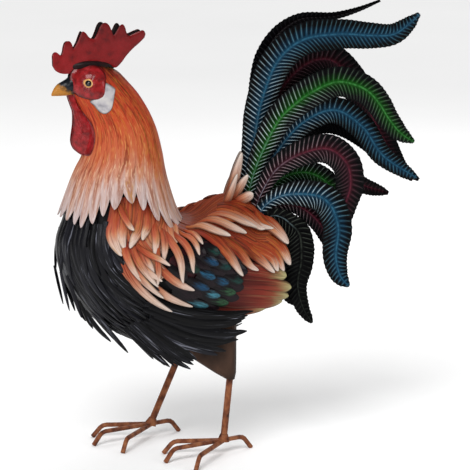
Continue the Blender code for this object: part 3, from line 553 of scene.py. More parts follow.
beakPaint = makeBeakPaint()
tailPaints = {   # colour of the rib, the web, the band beside the rib, the barbs, and their lines near the root, whiter there as a painted highlight
    "blue": tailPaint("tailBluePaint", "2a5a72", "103247", "0d2f43", "4c7480", "b9c8cc"),
    "green": tailPaint("tailGreenPaint", "3a7a3c", "11400f", "0c450c", "5b6e5c", "b9c8cc"),
    "wine": tailPaint("tailWinePaint", "5a2230", "2c121a", "3a1119", "4a383d", "948488"),
    "dark": tailPaint("tailDarkPaint", "161014", "0c080b", "0e090c", "2a282c", "3a3a3e"),
    "black": tailPaint("tailBlackPaint", "2e332d", "010102", "020202", "2c302b", "3e433c", "010101"),
}
print("materials made")


# Neck with its cut hem
hackle = {
    # (angle, height) of each tooth's tip on the bird's left, from the breast to the nape
    "teeth": [(7, 271), (22, 270), (34, 267), (42, 264.5), (54, 269.5), (64, 278), (75, 285), (93, 291), (104, 283),
              (118, 270), (131, 258.5), (144, 256), (157, 253), (170, 252)],
    "valley": 12.0, "columns": 10, "rows": 64, "sheet": 1.2, "flare": 1.6, "groove": 0.9,
    # how full the nape is, as (share of the height, mm)
    "nape": [(0, 0), (0.15, -1.0), (0.5, -0.8), (0.7, 0), (0.88, 2.2), (1, 0)],
}


def neckHem():   # (angle, height, how near the middle of a tooth) of each column
    near = hackle["teeth"]
    tips = near + [(360 - a, z) for a, z in near[::-1]]
    columns = []
    for i, (angle, z) in enumerate(tips):
        before, after = tips[i - 1], tips[(i + 1) % len(tips)]
        low = (angle + (before[0] - 360 if i == 0 else before[0])) / 2
        high = (angle + (after[0] + 360 if i == len(tips) - 1 else after[0])) / 2
        for k in range(hackle["columns"]):
            t = -1 + 2 * k / hackle["columns"]
            edge, other = (low, before) if t < 0 else (high, after)
            valley = max(z, other[1]) + hackle["valley"]
            columns.append((angle + (edge - angle) * abs(t), z + (valley - z) * abs(t) ** 1.6, 1 - abs(t) ** 2))
    return np.array(columns)


def makeNeck():
    columns = neckHem()
    count = len(columns)
    neck, across, v = newGrid("neck_skin", count, hackle["rows"])
    i = np.rint(across * count).astype(int)
    angle, _, ridge = columns[i % count].T
    stations = np.linspace(-0.3, 10, 400)
    heights = np.array([skinSpot(neckSkin, stations, np.full(400, a))[:, 2] for a in columns[:, 0]])
    start = np.array([np.interp(z, h, stations) for z, h in zip(columns[:, 1], heights)])[i % count]
    s = start + (10 - start) * v ** 1.15
    lift = (hackle["flare"] * ridge - hackle["groove"] * (1 - ridge)) * np.exp(-v / 0.12)
    lift += np.interp(v, *zip(*hackle["nape"])) * np.clip((70 - np.abs(180 - angle)) / 50, 0, 1)
    spots, _ = onSkin(neckSkin, s, angle, lift)
    placeInBird(neck, spots)
    closeShell(neck)   # closes the seam down the breast
    applyModifier(neck, "SOLIDIFY", thickness=hackle["sheet"] * millimetre, offset=-1)
    setTone(neck, 0.5)
    finishPiece(neck, neckPaint, ["head_and_neck"])


# Head pieces, drawn as side outlines (x, z) on the bird's left and repeated on its right
def circle(x, z, radius, sides=16):
    turns = [2 * math.pi * i / sides for i in range(sides)]
    return [(x + radius * math.cos(turn), z + radius * math.sin(turn)) for turn in turns]


puffs = {   # rise and back are how far a puff stands out and reaches in; shade is a dark spot (x, z, radius)
    "face": {
        "outline": [
            (-133.8, 431.1), (-129.5, 435.5), (-123.2, 437.8), (-116.0, 439.0), (-108.3, 439.0),
            (-102.3, 436.7), (-98.1, 431.9), (-96.9, 426.8), (-97.8, 421.8), (-98.3, 416.8), (-97.8, 413.0),
            (-99.6, 408.0), (-103.1, 403.8), (-107.0, 401.9), (-111.2, 402.0), (-118.2, 402.9), (-123.6, 404.3),
            (-127.8, 406.1), (-132.0, 409.2), (-134.5, 412.1), (-135.2, 419.7), (-135.1, 426.1),
        ],
        "rise": 3.6, "back": 2.0, "dimples": 0.3, "middle": (-116, 420), "shade": (-135, 409, 7),
        "paint": facePaint, "slot": "comb"},
    "ear_lobe": {
        "outline": [
            (-98.2, 420.7), (-95.3, 419.7), (-91.4, 417.1), (-88.0, 414.4), (-87.7, 411.9), (-88.9, 408.2),
            (-89.9, 403.9), (-91.1, 399.3), (-92.5, 394.3), (-94.7, 390.6), (-98.5, 387.8), (-102.0, 387.2),
            (-105.4, 388.9), (-108.7, 392.0), (-111.7, 396.3), (-115.9, 400.7), (-109.0, 405.0),
            (-102.3, 408.1), (-100.6, 415.7),
        ],
        "rise": 2.4, "back": 2.0, "middle": (-98, 400), "paint": lobePaint, "slot": "comb"},
    "eye_ring": {
        "outline": circle(-117.8, 420.9, 6.3), "rise": 5.0, "back": 1.0, "paint": eyeRingPaint, "slot": "beak"},
    "eye": {
        "outline": circle(-117.8, 420.9, 4.4), "rise": 6.2, "back": 1.0, "paint": eyePaint, "slot": "beak"},
    "wattle": {   # hangs before the neck and bends round it
        "outline": [
            (-137.9, 406.9), (-135.1, 398.1), (-132.0, 390.3), (-130.9, 382.6), (-131.3, 371.6),
            (-132.9, 361.6), (-133.6, 355.0), (-132.5, 349.4), (-129.4, 344.3), (-124.1, 340.1),
            (-119.3, 339.1), (-115.4, 341.1), (-112.4, 347.9), (-110.2, 356.7), (-110.1, 365.4),
            (-112.5, 374.1), (-116.6, 380.8), (-120.9, 387.3), (-125.1, 393.7), (-127.7, 399.2),
            (-131.2, 407.6),
        ],
        "rise": 3.0, "back": 1.2, "dimples": 0.3, "middle": (-121, 362), "hangs": True,
        "paint": facePaint, "slot": "comb"},
}
rimShare = 0.72   # of a puff's rows, those from the middle of its front to its rim


def neckSide(x, z, least=0.06):   # how far out (mm) the neck's side is at a place in the side view
    stations = np.interp(z, neckSkin[:, 1], np.arange(len(neckSkin)))
    outX, _, inX, _, half = np.moveaxis(curveThrough(neckSkin, stations), -1, 0)
    share = (x - (outX + inX) / 2) / (np.abs(outX - inX) / 2)
    return half * np.sqrt(np.maximum(1 - share ** 2, least))


def puffTone(look, flat, r, front):   # the rim and the back are the darkest
    tone = np.where(front, r ** 2, 1.0)
    if "shade" in look:
        x, z, radius = look["shade"]
        tone = np.maximum(tone, 0.93 * np.exp(-np.sum(((flat - (x, z)) / radius) ** 2, axis=1)))
    return np.minimum(tone, 0.84) if "hangs" in look else tone


def makePuff(label, side, look):
    outline = np.array(look["outline"])
    ring, rows = 64, 14
    edge = curveThrough(np.vstack([outline, outline[:1]]), np.linspace(0, len(outline), ring + 1))
    centre = np.array(look.get("middle", outline.mean(axis=0)))
    hangs = "hangs" in look
    puff, across, share = newGrid(f"{label}_{side}_sheet" if hangs else f"{label}_{side}", ring, rows)
    i = np.rint(across * ring).astype(int)
    front = share < rimShare
    r = np.where(front, np.sin(np.minimum(share / rimShare, 1) * math.pi / 2),
                 1 - (share - rimShare) / (1 - rimShare))
    flat = centre + (edge[i] - centre) * np.maximum(r, 0.0)[:, None]
    bulge = np.where(front, look["rise"] * np.sqrt(np.maximum(1 - r ** 2.6, 0)), -look["back"] * (1 - r ** 2))
    if "dimples" in look:
        x, z = flat.T
        bumps = np.sin(x * 1.9 + 2.1 * np.sin(z * 1.3)) * np.sin(z * 2.2 + 1.7 * np.sin(x))
        bulge += np.where(front, look["dimples"] * bumps * (1 - r ** 4), 0)
    base = neckSide(*flat.T)
    if hangs:
        base = np.maximum(np.interp(flat[:, 0], [-136, -108], [3.4, 9.0]), neckSide(*flat.T, 0.0) + 0.9)
    placeInBird(puff, np.stack([flat[:, 0], signs[side] * (base + bulge), flat[:, 1]], 1))
    setPointValues(puff, "tone", puffTone(look, flat, r, front))
    closeShell(puff)
    finishPiece(puff, look["paint"], [f"{label}_{side}"] if hangs else [])


def makeHead():
    for side in signs:
        for label, look in puffs.items():
            makePuff(label, side, look)
    bpy.ops.mesh.primitive_uv_sphere_add(segments=32, ring_count=16, radius=1)
    crown = bpy.context.object   # a near-black cap under the comb: painted shadow where the comb overhangs the head
    crown.name = crown.data.name = "crown"
    placeInBird(crown, readPoints(crown) * (27, 8.5, 7.5) + (-108, 0, 437.5))
    finishPiece(crown, combShadowPaint)
    print("head dressed")


comb = {
    "top": [
        (-152.1, 445.5), (-152.0, 450.6), (-150.1, 453.6), (-147.3, 452.3), (-143.7, 449.6), (-141.2, 453.9),
        (-139.9, 460.5), (-138.4, 464.4), (-135.5, 465.6), (-133.3, 464.4), (-131.8, 460.5), (-131.0, 457.3),
        (-128.4, 458.9), (-125.0, 464.9), (-123.3, 469.1), (-120.8, 475.0), (-119.5, 476.0), (-116.8, 473.8),
        (-113.9, 469.8), (-110.0, 467.6), (-106.7, 468.3), (-103.3, 475.0), (-100.6, 481.6), (-97.8, 485.0),
        (-95.0, 485.2), (-92.4, 482.9), (-90.1, 477.9), (-87.3, 471.2), (-84.6, 473.3), (-81.6, 478.5),
        (-79.2, 482.6), (-76.6, 483.1), (-74.6, 479.1), (-73.3, 474.6), (-70.2, 469.9), (-65.6, 471.3),
        (-58.3, 474.2), (-53.8, 475.1), (-51.5, 471.5),
    ],
    "foot": [
        (-151.8, 438.0), (-148.8, 432.8), (-143.4, 430.2), (-136.4, 429.7), (-131.6, 432.0), (-129.3, 435.5),
        (-122.7, 440.4), (-116.7, 442.6), (-105.8, 442.2), (-94.6, 439.9), (-87.0, 436.6), (-82.5, 435.6),
        (-76.7, 441.5), (-72.3, 448.1), (-65.1, 456.2), (-57.9, 462.7), (-52.8, 467.9),
    ],
    "columns": 200, "rows": 16, "sheet": 2.0, "edge": 0.6, "apart": 1.8, "spread": 0.19, "belly": 1.4,
}


def makeComb(side):
    sheet, u, v = newGrid(f"comb_{side}_sheet", comb["columns"], comb["rows"])
    fine = evenly(comb["top"], 800)
    length = lengthsOf(fine)
    upper = readAlong(u * length[-1], length, fine)
    foot = evenly(comb["foot"], 400)
    footX = np.clip(upper[:, 0], foot[0, 0], foot[-1, 0])
    lower = np.stack([footX, np.interp(footX, foot[:, 0], foot[:, 1])], 1)
    x, z = (lower + (upper - lower) * v[:, None]).T
    rim = np.clip(np.minimum(np.minimum(v, 1 - v) * 6, np.minimum(u, 1 - u) * 30), 0, 1)
    opening = np.clip((x + 148) / 60, 0, 1)   # the two sheets meet in front and open towards the rear
    lean = comb["apart"] + opening * (1.0 + comb["spread"] * (z - 430))
    lean += comb["belly"] * np.sqrt(rim) * (0.3 + 0.7 * opening) + 0.4 * np.sin(x / 7) * v * opening
    if side == "right":
        z = z - 0.03 * (z - 430)   # cut a little lower than its twin
    placeInBird(sheet, np.stack([x, signs[side] * lean, z], 1))
    applyModifier(sheet, "SOLIDIFY", thickness=comb["sheet"] * millimetre, offset=0)
    applyModifier(sheet, "BEVEL", width=comb["edge"] * millimetre, segments=2, limit_method="ANGLE",
                  angle_limit=math.radians(60))
    closeShell(sheet)
    normals = np.empty(len(sheet.data.vertices) * 3)
    sheet.data.vertices.foreach_get("normal", normals)
    inner = signs[side] * normals[1::3] < -0.3
    height = (readPoints(sheet)[:, 2] / millimetre - 435) / 50
    tone = np.where(inner, 1.0, np.clip(0.36 * height, 0, 0.4))   # the inner faces are black
    setPointValues(sheet, "tone", tone)
    finishPiece(sheet, combPaint, [f"comb_{side}"])


beakRings = np.array([
    (-127, 405, -127, 429, 10), (-133, 405, -134, 426.6, 8.8), (-138, 405, -138.5, 423.2, 7.4),
    (-142.5, 405, -143, 420.7, 6.2), (-147, 405, -148, 417.8, 4.6), (-151, 405.1, -152, 412.8, 2.8),
    (-154.2, 405.2, -154.6, 407, 0.8),
], float)


def makeBeak():
    beak, across, v = newGrid("beak_horn", 40, 40)
    spots = skinSpot(beakRings, v * (len(beakRings) - 1), across * 360)
    spots[:, 1] *= 1 - 0.16 * np.exp(-((spots[:, 2] - 410 - 3 * v) / 0.9) ** 2)   # the mouth line, pressed in
    placeInBird(beak, spots)
    closeShell(beak)
    pick(beak)
    bpy.ops.object.mode_set(mode="EDIT")
    bpy.ops.mesh.select_all(action="DESELECT")
    bpy.ops.mesh.select_mode(type="EDGE")
    bpy.ops.mesh.select_non_manifold()
    bpy.ops.mesh.edge_face_add()
    bpy.ops.mesh.select_all(action="SELECT")
    bpy.ops.mesh.normals_make_consistent(inside=False)
    bpy.ops.object.mode_set(mode="OBJECT")
    setTone(beak, 0.5)
    finishPiece(beak, beakPaint, ["beak"])


makeNeck()
makeHead()
for combSide in signs:
    makeComb(combSide)
makeBeak()

# Black breast and belly strips
breast = {
    # root station, tip station, how far round (degrees), how far the tips stand off (mm), strips, half width
    "rows": [
        (0.9, 3.3, 77, 2.5, 22, 4.8), (1.9, 4.4, 78, 3.5, 24, 4.2), (2.9, 5.2, 78, 5.5, 28, 3.4),
        (3.9, 6.2, 69, 8, 26, 2.9), (4.8, 6.9, 66, 9, 26, 2.7), (5.8, 7.9, 56, 9, 22, 2.6),
        (6.8, 8.7, 40, 8, 16, 2.6),
    ],
    "sway": 3.2, "lengthScatter": 0.35,
    # strips that hang clear of the breast: three (x, z) places from root to tip, half width, row they belong to
    "loose": [
        ([(-144.0, 256), (-148.6, 231), (-149.8, 205.0)], 2.4, 2),
        ([(-150.4, 212), (-146.1, 190.7), (-141.0, 167.3)], 1.9, 3),
        ([(-143.7, 207.5), (-133.9, 178.7), (-127.5, 158.7)], 2.4, 3),
        ([(-123.8, 166.7), (-109.3, 145.4), (-94.7, 129.6)], 2.8, 4),
        ([(-114.8, 163.9), (-92.3, 136.4), (-75.3, 115.8)], 2.8, 4),
        ([(-83.1, 147.2), (-60.4, 122.9), (-46.7, 107.1)], 2.2, 5),
        ([(-71.7, 140.8), (-48.9, 116.5), (-34.1, 99.4)], 2.4, 5),
        ([(-130.5, 178.5), (-121.7, 157.5), (-115.0, 145.7)], 2.0, 4),
        ([(-54.6, 134.1), (-37.4, 113.5), (-22.5, 97.5)], 2.2, 6),
    ],
}


def breastStrip(row, layer, i):
    root, tip, reach, rise, count, halfWidth = row
    angle = -reach + 2 * reach * (i + 0.5 * layer + 0.25) / count + draw.normal(0, 0.8)
    start = root + 0.35 * layer + draw.uniform(-0.1, 0.1)
    end = tip - 0.5 * layer + draw.uniform(-1, 1) * breast["lengthScatter"]
    sway = draw.normal(0, breast["sway"])
    stand = rise * draw.uniform(0.4, 1.15) * (1 - 0.3 * layer)
    base = 1.6 + 1.2 * (1 - layer)
    route = [(start, angle, base), ((start + end) / 2, angle + sway * 0.3, base + stand * 0.3),
             (end, angle + sway, base + stand)]
    return layOnSkin("slimBlank", bodySkin, route, halfWidth * draw.uniform(0.75, 1.15), draw.uniform(), "left")


def looseStrip(path, width, row, sign):
    spots = evenly([(x, sign * (12 + 2 * row), z) for x, z in path], stripSteps)
    return bendCopy("slimBlank", spots, np.tile((-0.5, sign * 0.8, -0.2), (stripSteps, 1)), width, draw.uniform())


def makeBreast():
    for number, row in enumerate(breast["rows"], 1):
        strips = [breastStrip(row, layer, i) for layer in range(2) for i in range(row[4])]
        strips += [looseStrip(*loose, sign) for loose in breast["loose"] if loose[2] == number
                   for sign in signs.values()]
        finishPiece(joinAll(f"breast_strips_{number}", strips), blackPaint,
                    [f"breast_feathers_{number}"])
    print("breast strips laid")


# Black strips under each wing
flank = {   # strips: (x, z) from root to tip, half width
    "strips": [
        ([(-60, 184.9), (-14.8, 170), (25.1, 164), (59.5, 165)], 4.8),
        ([(-60, 178.1), (-14.9, 161), (25.1, 156), (51.5, 158.1)], 5.0),
        ([(-54.5, 167.7), (-9.2, 149), (25.1, 142.5), (50.4, 142.8)], 5.4),
        ([(-60, 164.6), (-20.6, 145), (13.6, 136.5), (42.3, 134.6)], 4.8),
        ([(-60.2, 160.1), (-26.3, 140), (2.2, 129), (26.2, 121)], 4.6),
        ([(-71.4, 160.8), (-43.3, 138.8), (-20.7, 124), (-3.6, 114.6)], 4.2),
        ([(-77.1, 161.1), (-49, 135.8), (-28.7, 119.8), (-8.2, 107.1)], 4.0),
        ([(-82.7, 158.1), (-60.3, 136), (-45.7, 123.1), (-31, 110.8)], 3.6),
    ],
    "out": 63, "doubledBy": (-6, -3.2),
}


def makeFlanks():
    for side, sign in signs.items():
        strips = []
        for route, halfWidth in flank["strips"]:
            for step in range(2):
                flat = np.array(route, float) + step * np.array(flank["doubledBy"])
                flat[-1] += (draw.uniform(-4, 0.5), draw.uniform(-1.5, 1.5))
                out = sign * (flank["out"] - 0.6 * step + 3 * np.sin(np.linspace(0, 3, len(flat))))
                spots = evenly(np.stack([flat[:, 0], out, flat[:, 1]], 1), stripSteps)
                normals = np.tile((0.0, sign, 0.15), (stripSteps, 1))
                strips.append(bendCopy("slimBlank", spots, normals, halfWidth, draw.uniform()))
        finishPiece(joinAll(f"flank_strips_{side}", strips), blackPaint, [f"flank_feathers_{side}"])


makeBreast()
makeFlanks()

# Orange shoulder strips: (station, angle, lift) from root to tip, half width. A cover is the sheet they are cut
# from: its stations, those over which it rises, lower and upper edge as (station, angle), lift in front and
# behind, and the part of the paint that it shows
shoulder = {
    "upper": {
        "strips": [
            ([(0.3, 76, 3), (1.4, 71, 4), (2.6, 73.8, 6)], 8.0),
            ([(0.3, 84, 2.5), (1.3, 79, 4), (2.3, 78, 6)], 7.0),
            ([(0.3, 106, 2.5), (1.6, 92, 5), (2.35, 82, 7)], 5.5),
            ([(0.3, 113, 2.5), (1.25, 103.5, 4), (2.1, 94, 6)], 5.5),
            ([(0.5, 118, 2.5), (2.3, 104.5, 5), (3.25, 93.5, 7)], 4.8),
            ([(0.9, 124, 2.5), (2.9, 106.5, 5), (3.95, 91.8, 7)], 4.4),
            ([(1.4, 124, 2.5), (4.2, 101, 7), (5.35, 84.2, 9)], 4.6),
            ([(1.6, 130, 2.5), (4.4, 107.5, 6), (5.43, 93, 8)], 4.2),
            ([(2.0, 133, 2.5), (4.25, 115.8, 5), (5.08, 106, 7)], 3.6),
            ([(2.4, 136, 3), (4.2, 120.5, 5), (4.85, 114.5, 6)], 3.0),
            ([(0.4, 78, 6), (0.98, 85.5, 7), (1.4, 89.5, 10)], 3.6),
            ([(2.2, 108, 6), (4.0, 86.5, 8), (4.6, 76.2, 10)], 3.4),
        ],
        "cover": {
            "stations": (0.2, 3.4), "rise": (0.2, 1.2), "lifts": (0.9, 2.2), "paint": (0.1, 0.5),
            "low": [(0.2, 73), (1.4, 70), (2.4, 76), (3.4, 92)],
            "high": [(0.2, 172), (1.4, 142), (2.4, 128), (3.4, 116)]},
    },
    "lower": {
        "strips": [
            ([(2.2, 76, 4), (4.15, 67.2, 6), (5.85, 61.8, 9)], 5.2),
            ([(2.0, 82, 5), (3.58, 80.2, 7), (4.6, 79.8, 10)], 4.6),
            ([(2.3, 88, 7), (3.4, 92.2, 9), (4.25, 91.8, 12)], 3.6),
            ([(3.0, 79, 3), (4.95, 71.8, 5), (6.35, 69, 8)], 4.8),
            ([(3.0, 91, 3), (5.0, 83.2, 5), (5.97, 81.5, 8)], 4.8),
            ([(2.0, 92, 3), (3.35, 85.5, 5), (4.1, 81.5, 7)], 5.5),
            ([(2.4, 72, 2.5), (3.6, 68, 4), (4.6, 66, 6)], 4.4),
            ([(1.8, 79, 5), (2.9, 76.5, 8), (4.05, 72, 9)], 4.4),
            ([(2.2, 85, 6), (3.4, 80.5, 8), (4.7, 75, 9)], 4.4),
            ([(2.6, 76, 5), (3.9, 73.5, 8), (5.2, 69.5, 9)], 4.2),
        ],
        "cover": {
            "stations": (1.6, 4.6), "rise": (1.6, 2.4), "lifts": (0.9, 3.4), "paint": (0.1, 0.5),
            "low": [(1.6, 74), (3.0, 71), (4.6, 71)], "high": [(1.6, 96), (3.0, 96), (4.6, 86)]},
    },
    "rootSink": 2.5, "closerOnRight": 0.55,
}


def makeShoulders():
    for side in signs:
        closer = shoulder["closerOnRight"] if side == "right" else 1.0
        for label in ("upper", "lower"):
            row = shoulder[label]
            strips = []
            for route, halfWidth in row["strips"]:
                route = [(s, angle, lift * closer) for s, angle, lift in route]
                strips.append(layOnSkin("lanceBlank", bodySkin, route, halfWidth, draw.uniform(), side,
                                        shoulder["rootSink"] * closer))
            strips.append(layCover(bodySkin, row["cover"], side))
            finishPiece(joinAll(f"shoulder_strips_{side}_{label}", strips), hacklePaint,
                        [f"shoulder_feathers_{side}_{label}"])
    print("shoulder strips laid")


makeShoulders()

wing = {   # edges as (station, angle)
    "stations": (4.05, 9.6), "sheet": 1.1, "lift": 1.6,
    "low": [(4, 98), (4.5, 86), (5, 79), (6, 73), (7, 67), (8, 61), (10.2, 57)],
    "high": [(4, 106), (4.5, 114), (5, 119), (6, 122), (7, 120), (8, 115), (9, 106), (10.2, 97)],
    # long feathers: (station, angle, lift) from root to tip, half width
    "flights": [
        ([(6.6, 104, 2.2), (8.3, 101, 2.6), (9.8, 92, 3)], 10),
        ([(6.6, 94, 2.6), (8.5, 87, 3), (10.25, 76, 3)], 10),
        ([(6.6, 86, 3.0), (8.6, 78, 3.4), (10.3, 63, 3.2)], 9),
        ([(6.6, 78, 3.4), (8.5, 70, 3.8), (10.1, 56, 3.4)], 9),
        ([(6.2, 69, 3.8), (7.8, 63, 4.2), (9.4, 56, 3.8)], 6),
    ],
    # bright marks: station, angle, dye (0 blue, 0.3 pale blue, 0.55 deep green, 0.75 green)
    "marks": [
        (5.8, 104.2, 0.0), (6.03, 94, 0.1), (6.78, 91.2, 0.05), (6.08, 85, 0.0), (6.7, 80.2, 0.3),
        (6.48, 70.8, 0.35), (5.55, 112, 0.55), (6.5, 102.8, 0.5), (7.45, 93.5, 0.55), (7.33, 83.5, 0.75),
        (7.23, 74.2, 0.75), (5.2, 96, 0.6),
    ],
    "darkMarks": [
        (5.0, 108), (5.0, 88), (5.4, 80), (5.9, 76), (5.6, 99), (6.2, 108), (6.9, 100), (7.0, 110), (7.5, 102),
        (7.0, 86), (6.4, 98), (7.6, 88), (6.3, 89.5), (6.1, 80), (6.9, 75.5), (7.6, 78), (5.0, 98), (6.0, 71),
        (7.0, 68),
    ],
    "darkDye": 0.95, "markLift": 5.6, "darkLift": 4.6, "markHalfWidth": 5.8, "darkHalfWidth": 6.6,
}


def wingSheet(side):
    sheet, across, along = newGrid(f"wing_{side}_sheet", 30, 44)
    s = wing["stations"][0] + (wing["stations"][1] - wing["stations"][0]) * along
    low, high = (np.interp(s, *zip(*wing[edge])) for edge in ("low", "high"))
    spots, _ = onSkin(flankSkin, s, -signs[side] * (low + (high - low) * across), wing["lift"])
    placeInBird(sheet, spots)
    applyModifier(sheet, "SOLIDIFY", thickness=wing["sheet"] * millimetre, offset=-signs[side])
    closeShell(sheet)
    setTone(sheet, 0.5)
    return sheet


def wingMark(side, s, angle, dye, lift, halfWidth):
    route = [(s - 0.62, angle + 2, lift - 1.2), (s, angle, lift), (s + 0.46, angle - 1, lift + 0.2)]
    return layOnSkin("scaleBlank", flankSkin, route, halfWidth, dye, side)


def makeWings():
    for side in signs:
        finishPiece(wingSheet(side), wingPaint, [f"wing_{side}"])
        flights = [layOnSkin("broadBlank", flankSkin, *flight, draw.uniform(), side) for flight in wing["flights"]]
        finishPiece(joinAll(f"wing_{side}_flights", flights), flightPaint)
        marks = [wingMark(side, *mark, wing["darkDye"], wing["darkLift"], wing["darkHalfWidth"])
                 for mark in wing["darkMarks"]]
        marks += [wingMark(side, *mark, wing["markLift"], wing["markHalfWidth"]) for mark in wing["marks"]]
        finishPiece(joinAll(f"wing_{side}_scales", marks), scalePaint)
    print("wings made")


makeWings()

saddle = {   # strips and covers as on the shoulders; the first strips have long cream ends
    "lower": {
        "strips": [
            ([(3.0, 134, 4), (5.98, 116.2, 5.5), (7.75, 97.5, 8)], 6.6),
            ([(4.4, 128, 4), (6.85, 116.8, 5.5), (8.4, 101.5, 8)], 6.4),
            ([(5.2, 130, 4), (7.8, 118.2, 5.5), (9.1, 97.8, 7.5)], 6.6),
            ([(6.2, 133, 4), (8.55, 116.5, 5.5), (9.25, 99, 7)], 6.5),
            ([(7.0, 139, 4), (8.75, 119.5, 5), (9.55, 98.5, 6.5)], 6.5),
            ([(7.8, 145, 4), (9.05, 125.5, 5), (9.8, 104.8, 6)], 7.5),
        ],
        "cover": {
            "stations": (1.6, 8.9), "rise": (3.0, 5.5), "lifts": (1.3, 4.2), "paint": (0.0, 0.45),
            "low": [(1.6, 134), (2.4, 132), (4.5, 124), (6.5, 117), (8, 113), (8.9, 113)], "high": [(0, 181)]},
        "creamStrips": 0,
    },
    "upper": {
        "strips": [
            ([(2.2, 143, 3), (4.55, 128.5, 8), (5.95, 125.2, 10.5)], 5.2),
            ([(3.0, 146, 4), (5.35, 134.2, 9), (6.85, 130.8, 11)], 5.4),
            ([(3.8, 150, 5), (6.0, 141, 9.5), (7.55, 139.5, 11)], 5.0),
            ([(4.4, 153, 7), (6.6, 144, 9.5), (8.3, 139, 11)], 5.6),
            ([(4.4, 158, 8.5), (6.5, 149, 9.5), (8.7, 140, 10.5)], 7.6),
            ([(5.4, 168, 8), (7.8, 158, 9.0), (9.45, 126, 9.5)], 12.0),
        ],
        "cover": {
            "stations": (1.3, 8.6), "rise": (3.2, 6.0), "lifts": (1.8, 7.6), "paint": (0.0, 0.5),
            "low": [(1.3, 150), (2.0, 146), (4.6, 134), (6.2, 139), (7.6, 146), (8.6, 146)], "high": [(0, 181)]},
        "creamStrips": 4,
    },
    "rootSink": 2.5, "creamFrom": 0.44,
    # upright strips before the tail: (x, z) from root to tip, half width, blank
    "crest": [
        ([(40, 270), (47, 303), (56, 337)], 6.4, "lanceBlank"),
        ([(44, 272), (52.2, 296), (62.5, 312)], 5.6, "lanceBlank"),
        ([(45, 276), (57.1, 285), (68, 291)], 6.0, "broadBlank"),
        ([(35, 268), (41, 290), (49, 314)], 4.4, "lanceBlank"),
    ],
    "crestOut": 21, "crestStep": 2, "crestFarBack": 10, "crestPaintFrom": 0.4,
}


def makeCrest(side):
    strips = []
    for number, (path, halfWidth, blank) in enumerate(saddle["crest"]):
        back = saddle["crestFarBack"] if side == "right" else 0
        out = signs[side] * (saddle["crestOut"] + saddle["crestStep"] * number)
        spots = [(x + back, share * out, z - back / 2) for (x, z), share in zip(path, (0.5, 0.92, 1.0))]
        normals = np.tile((0.1, signs[side], 0.1), (stripSteps, 1))
        strip = bendCopy(blank, evenly(spots, stripSteps), normals, halfWidth, 0.5)
        scaleUv(strip, 1.0, 1 - saddle["crestPaintFrom"], saddle["crestPaintFrom"])   # cream nearly down to the root
        strips.append(strip)
    return strips


def makeSaddle():
    for label in ("lower", "upper"):
        row = saddle[label]
        strips = []
        for side in signs:
            cut = [layOnSkin("lanceBlank", flankSkin, *strip, draw.uniform(), side, saddle["rootSink"])
                   for strip in row["strips"]]
            for strip in cut[:row["creamStrips"]]:
                scaleUv(strip, 1.0, 1 - saddle["creamFrom"], saddle["creamFrom"])
            strips += cut + [layCover(flankSkin, row["cover"], side)]
            if label == "upper":
                strips += makeCrest(side)
        finishPiece(joinAll(f"saddle_{label}_feathers", strips), saddlePaint, [f"saddle_{label}"])
    print("saddle laid")


makeSaddle()

# Sickle feathers of the tail: side path (x, z) from root to tip, widest width, side offset, all in mm
tailFeathers = {
    "01_blue_top": ([(60, 262), (66, 297), (74, 344), (83, 391), (101, 435), (131, 459), (174, 464),
        (208, 461.5), (235, 461.5), (252, 470.5), (268, 484)], 38, -1.0),
    "02_dark_top": ([(59, 262), (68, 302), (76, 380), (86, 432), (104, 463), (132, 481), (170, 483),
        (199, 489.5), (226, 499)], 22, 2.6, "slim"),
    "03_green": ([(63, 262), (67, 292), (77, 326), (98, 369), (118, 389), (141, 404), (165, 412.5),
        (186, 409), (203, 400), (216, 385.5), (227, 368.5), (241, 352), (257, 341)], 36, -7.6),
    "04_wine_rear": ([(68, 260), (76, 299), (91, 353), (115, 397), (145, 425), (175, 430), (199, 409),
        (221, 372), (241, 335), (257, 307), (276.6, 287)], 38, 12.6),
    "05_blue_middle": ([(68, 262), (80, 296), (101, 336), (130, 367), (166, 379.5), (199, 359), (224, 325),
        (264, 298)], 31, -4.3),
    "06_dark_middle": ([(72, 260), (84, 297), (109, 334), (139, 355), (169, 361), (202, 347), (240, 316),
        (277.5, 290)], 25, 6.0),
    "07_wine_front": ([(70, 258), (78, 288), (95, 317), (121, 333.5), (152, 339), (174, 322.5),
        (179.5, 297), (173, 272), (164.5, 239), (169, 206)], 34, -14.2),
    "08_wine_swept": ([(75, 256), (88, 285), (111, 309), (144, 325), (176, 322), (197, 302), (214, 284.5),
        (249, 271.5)], 26, 15.9),
    "09_blue_low": ([(72, 254), (82, 276), (104, 288), (138, 287), (154, 277), (161.5, 262), (164.5, 244),
        (161.5, 217), (166, 195), (176, 182)], 34.5, -17.5),
    "10_green_low": ([(79, 252), (90, 280), (117, 301), (144, 304), (168, 291), (183, 264), (187, 236),
        (181, 207)], 28, 9.3),
    "11_wine_low": ([(78, 252), (88, 270), (107, 276.5), (127, 270.5), (148, 251), (163, 224),
        (171, 198)], 22, -10.9),
    "12_black_left": ([(76, 248), (87, 264), (98, 264), (108, 257), (119.5, 243), (121, 215), (116, 187),
        (121, 162), (131, 144)], 31, -20.8, "drawnIn"),
    "13_black_right": ([(78, 246), (88, 262), (101, 262), (114, 254), (124, 238), (125, 213), (121, 186),
        (126, 161), (136, 146)], 30, 19.2, "drawnIn"),
}
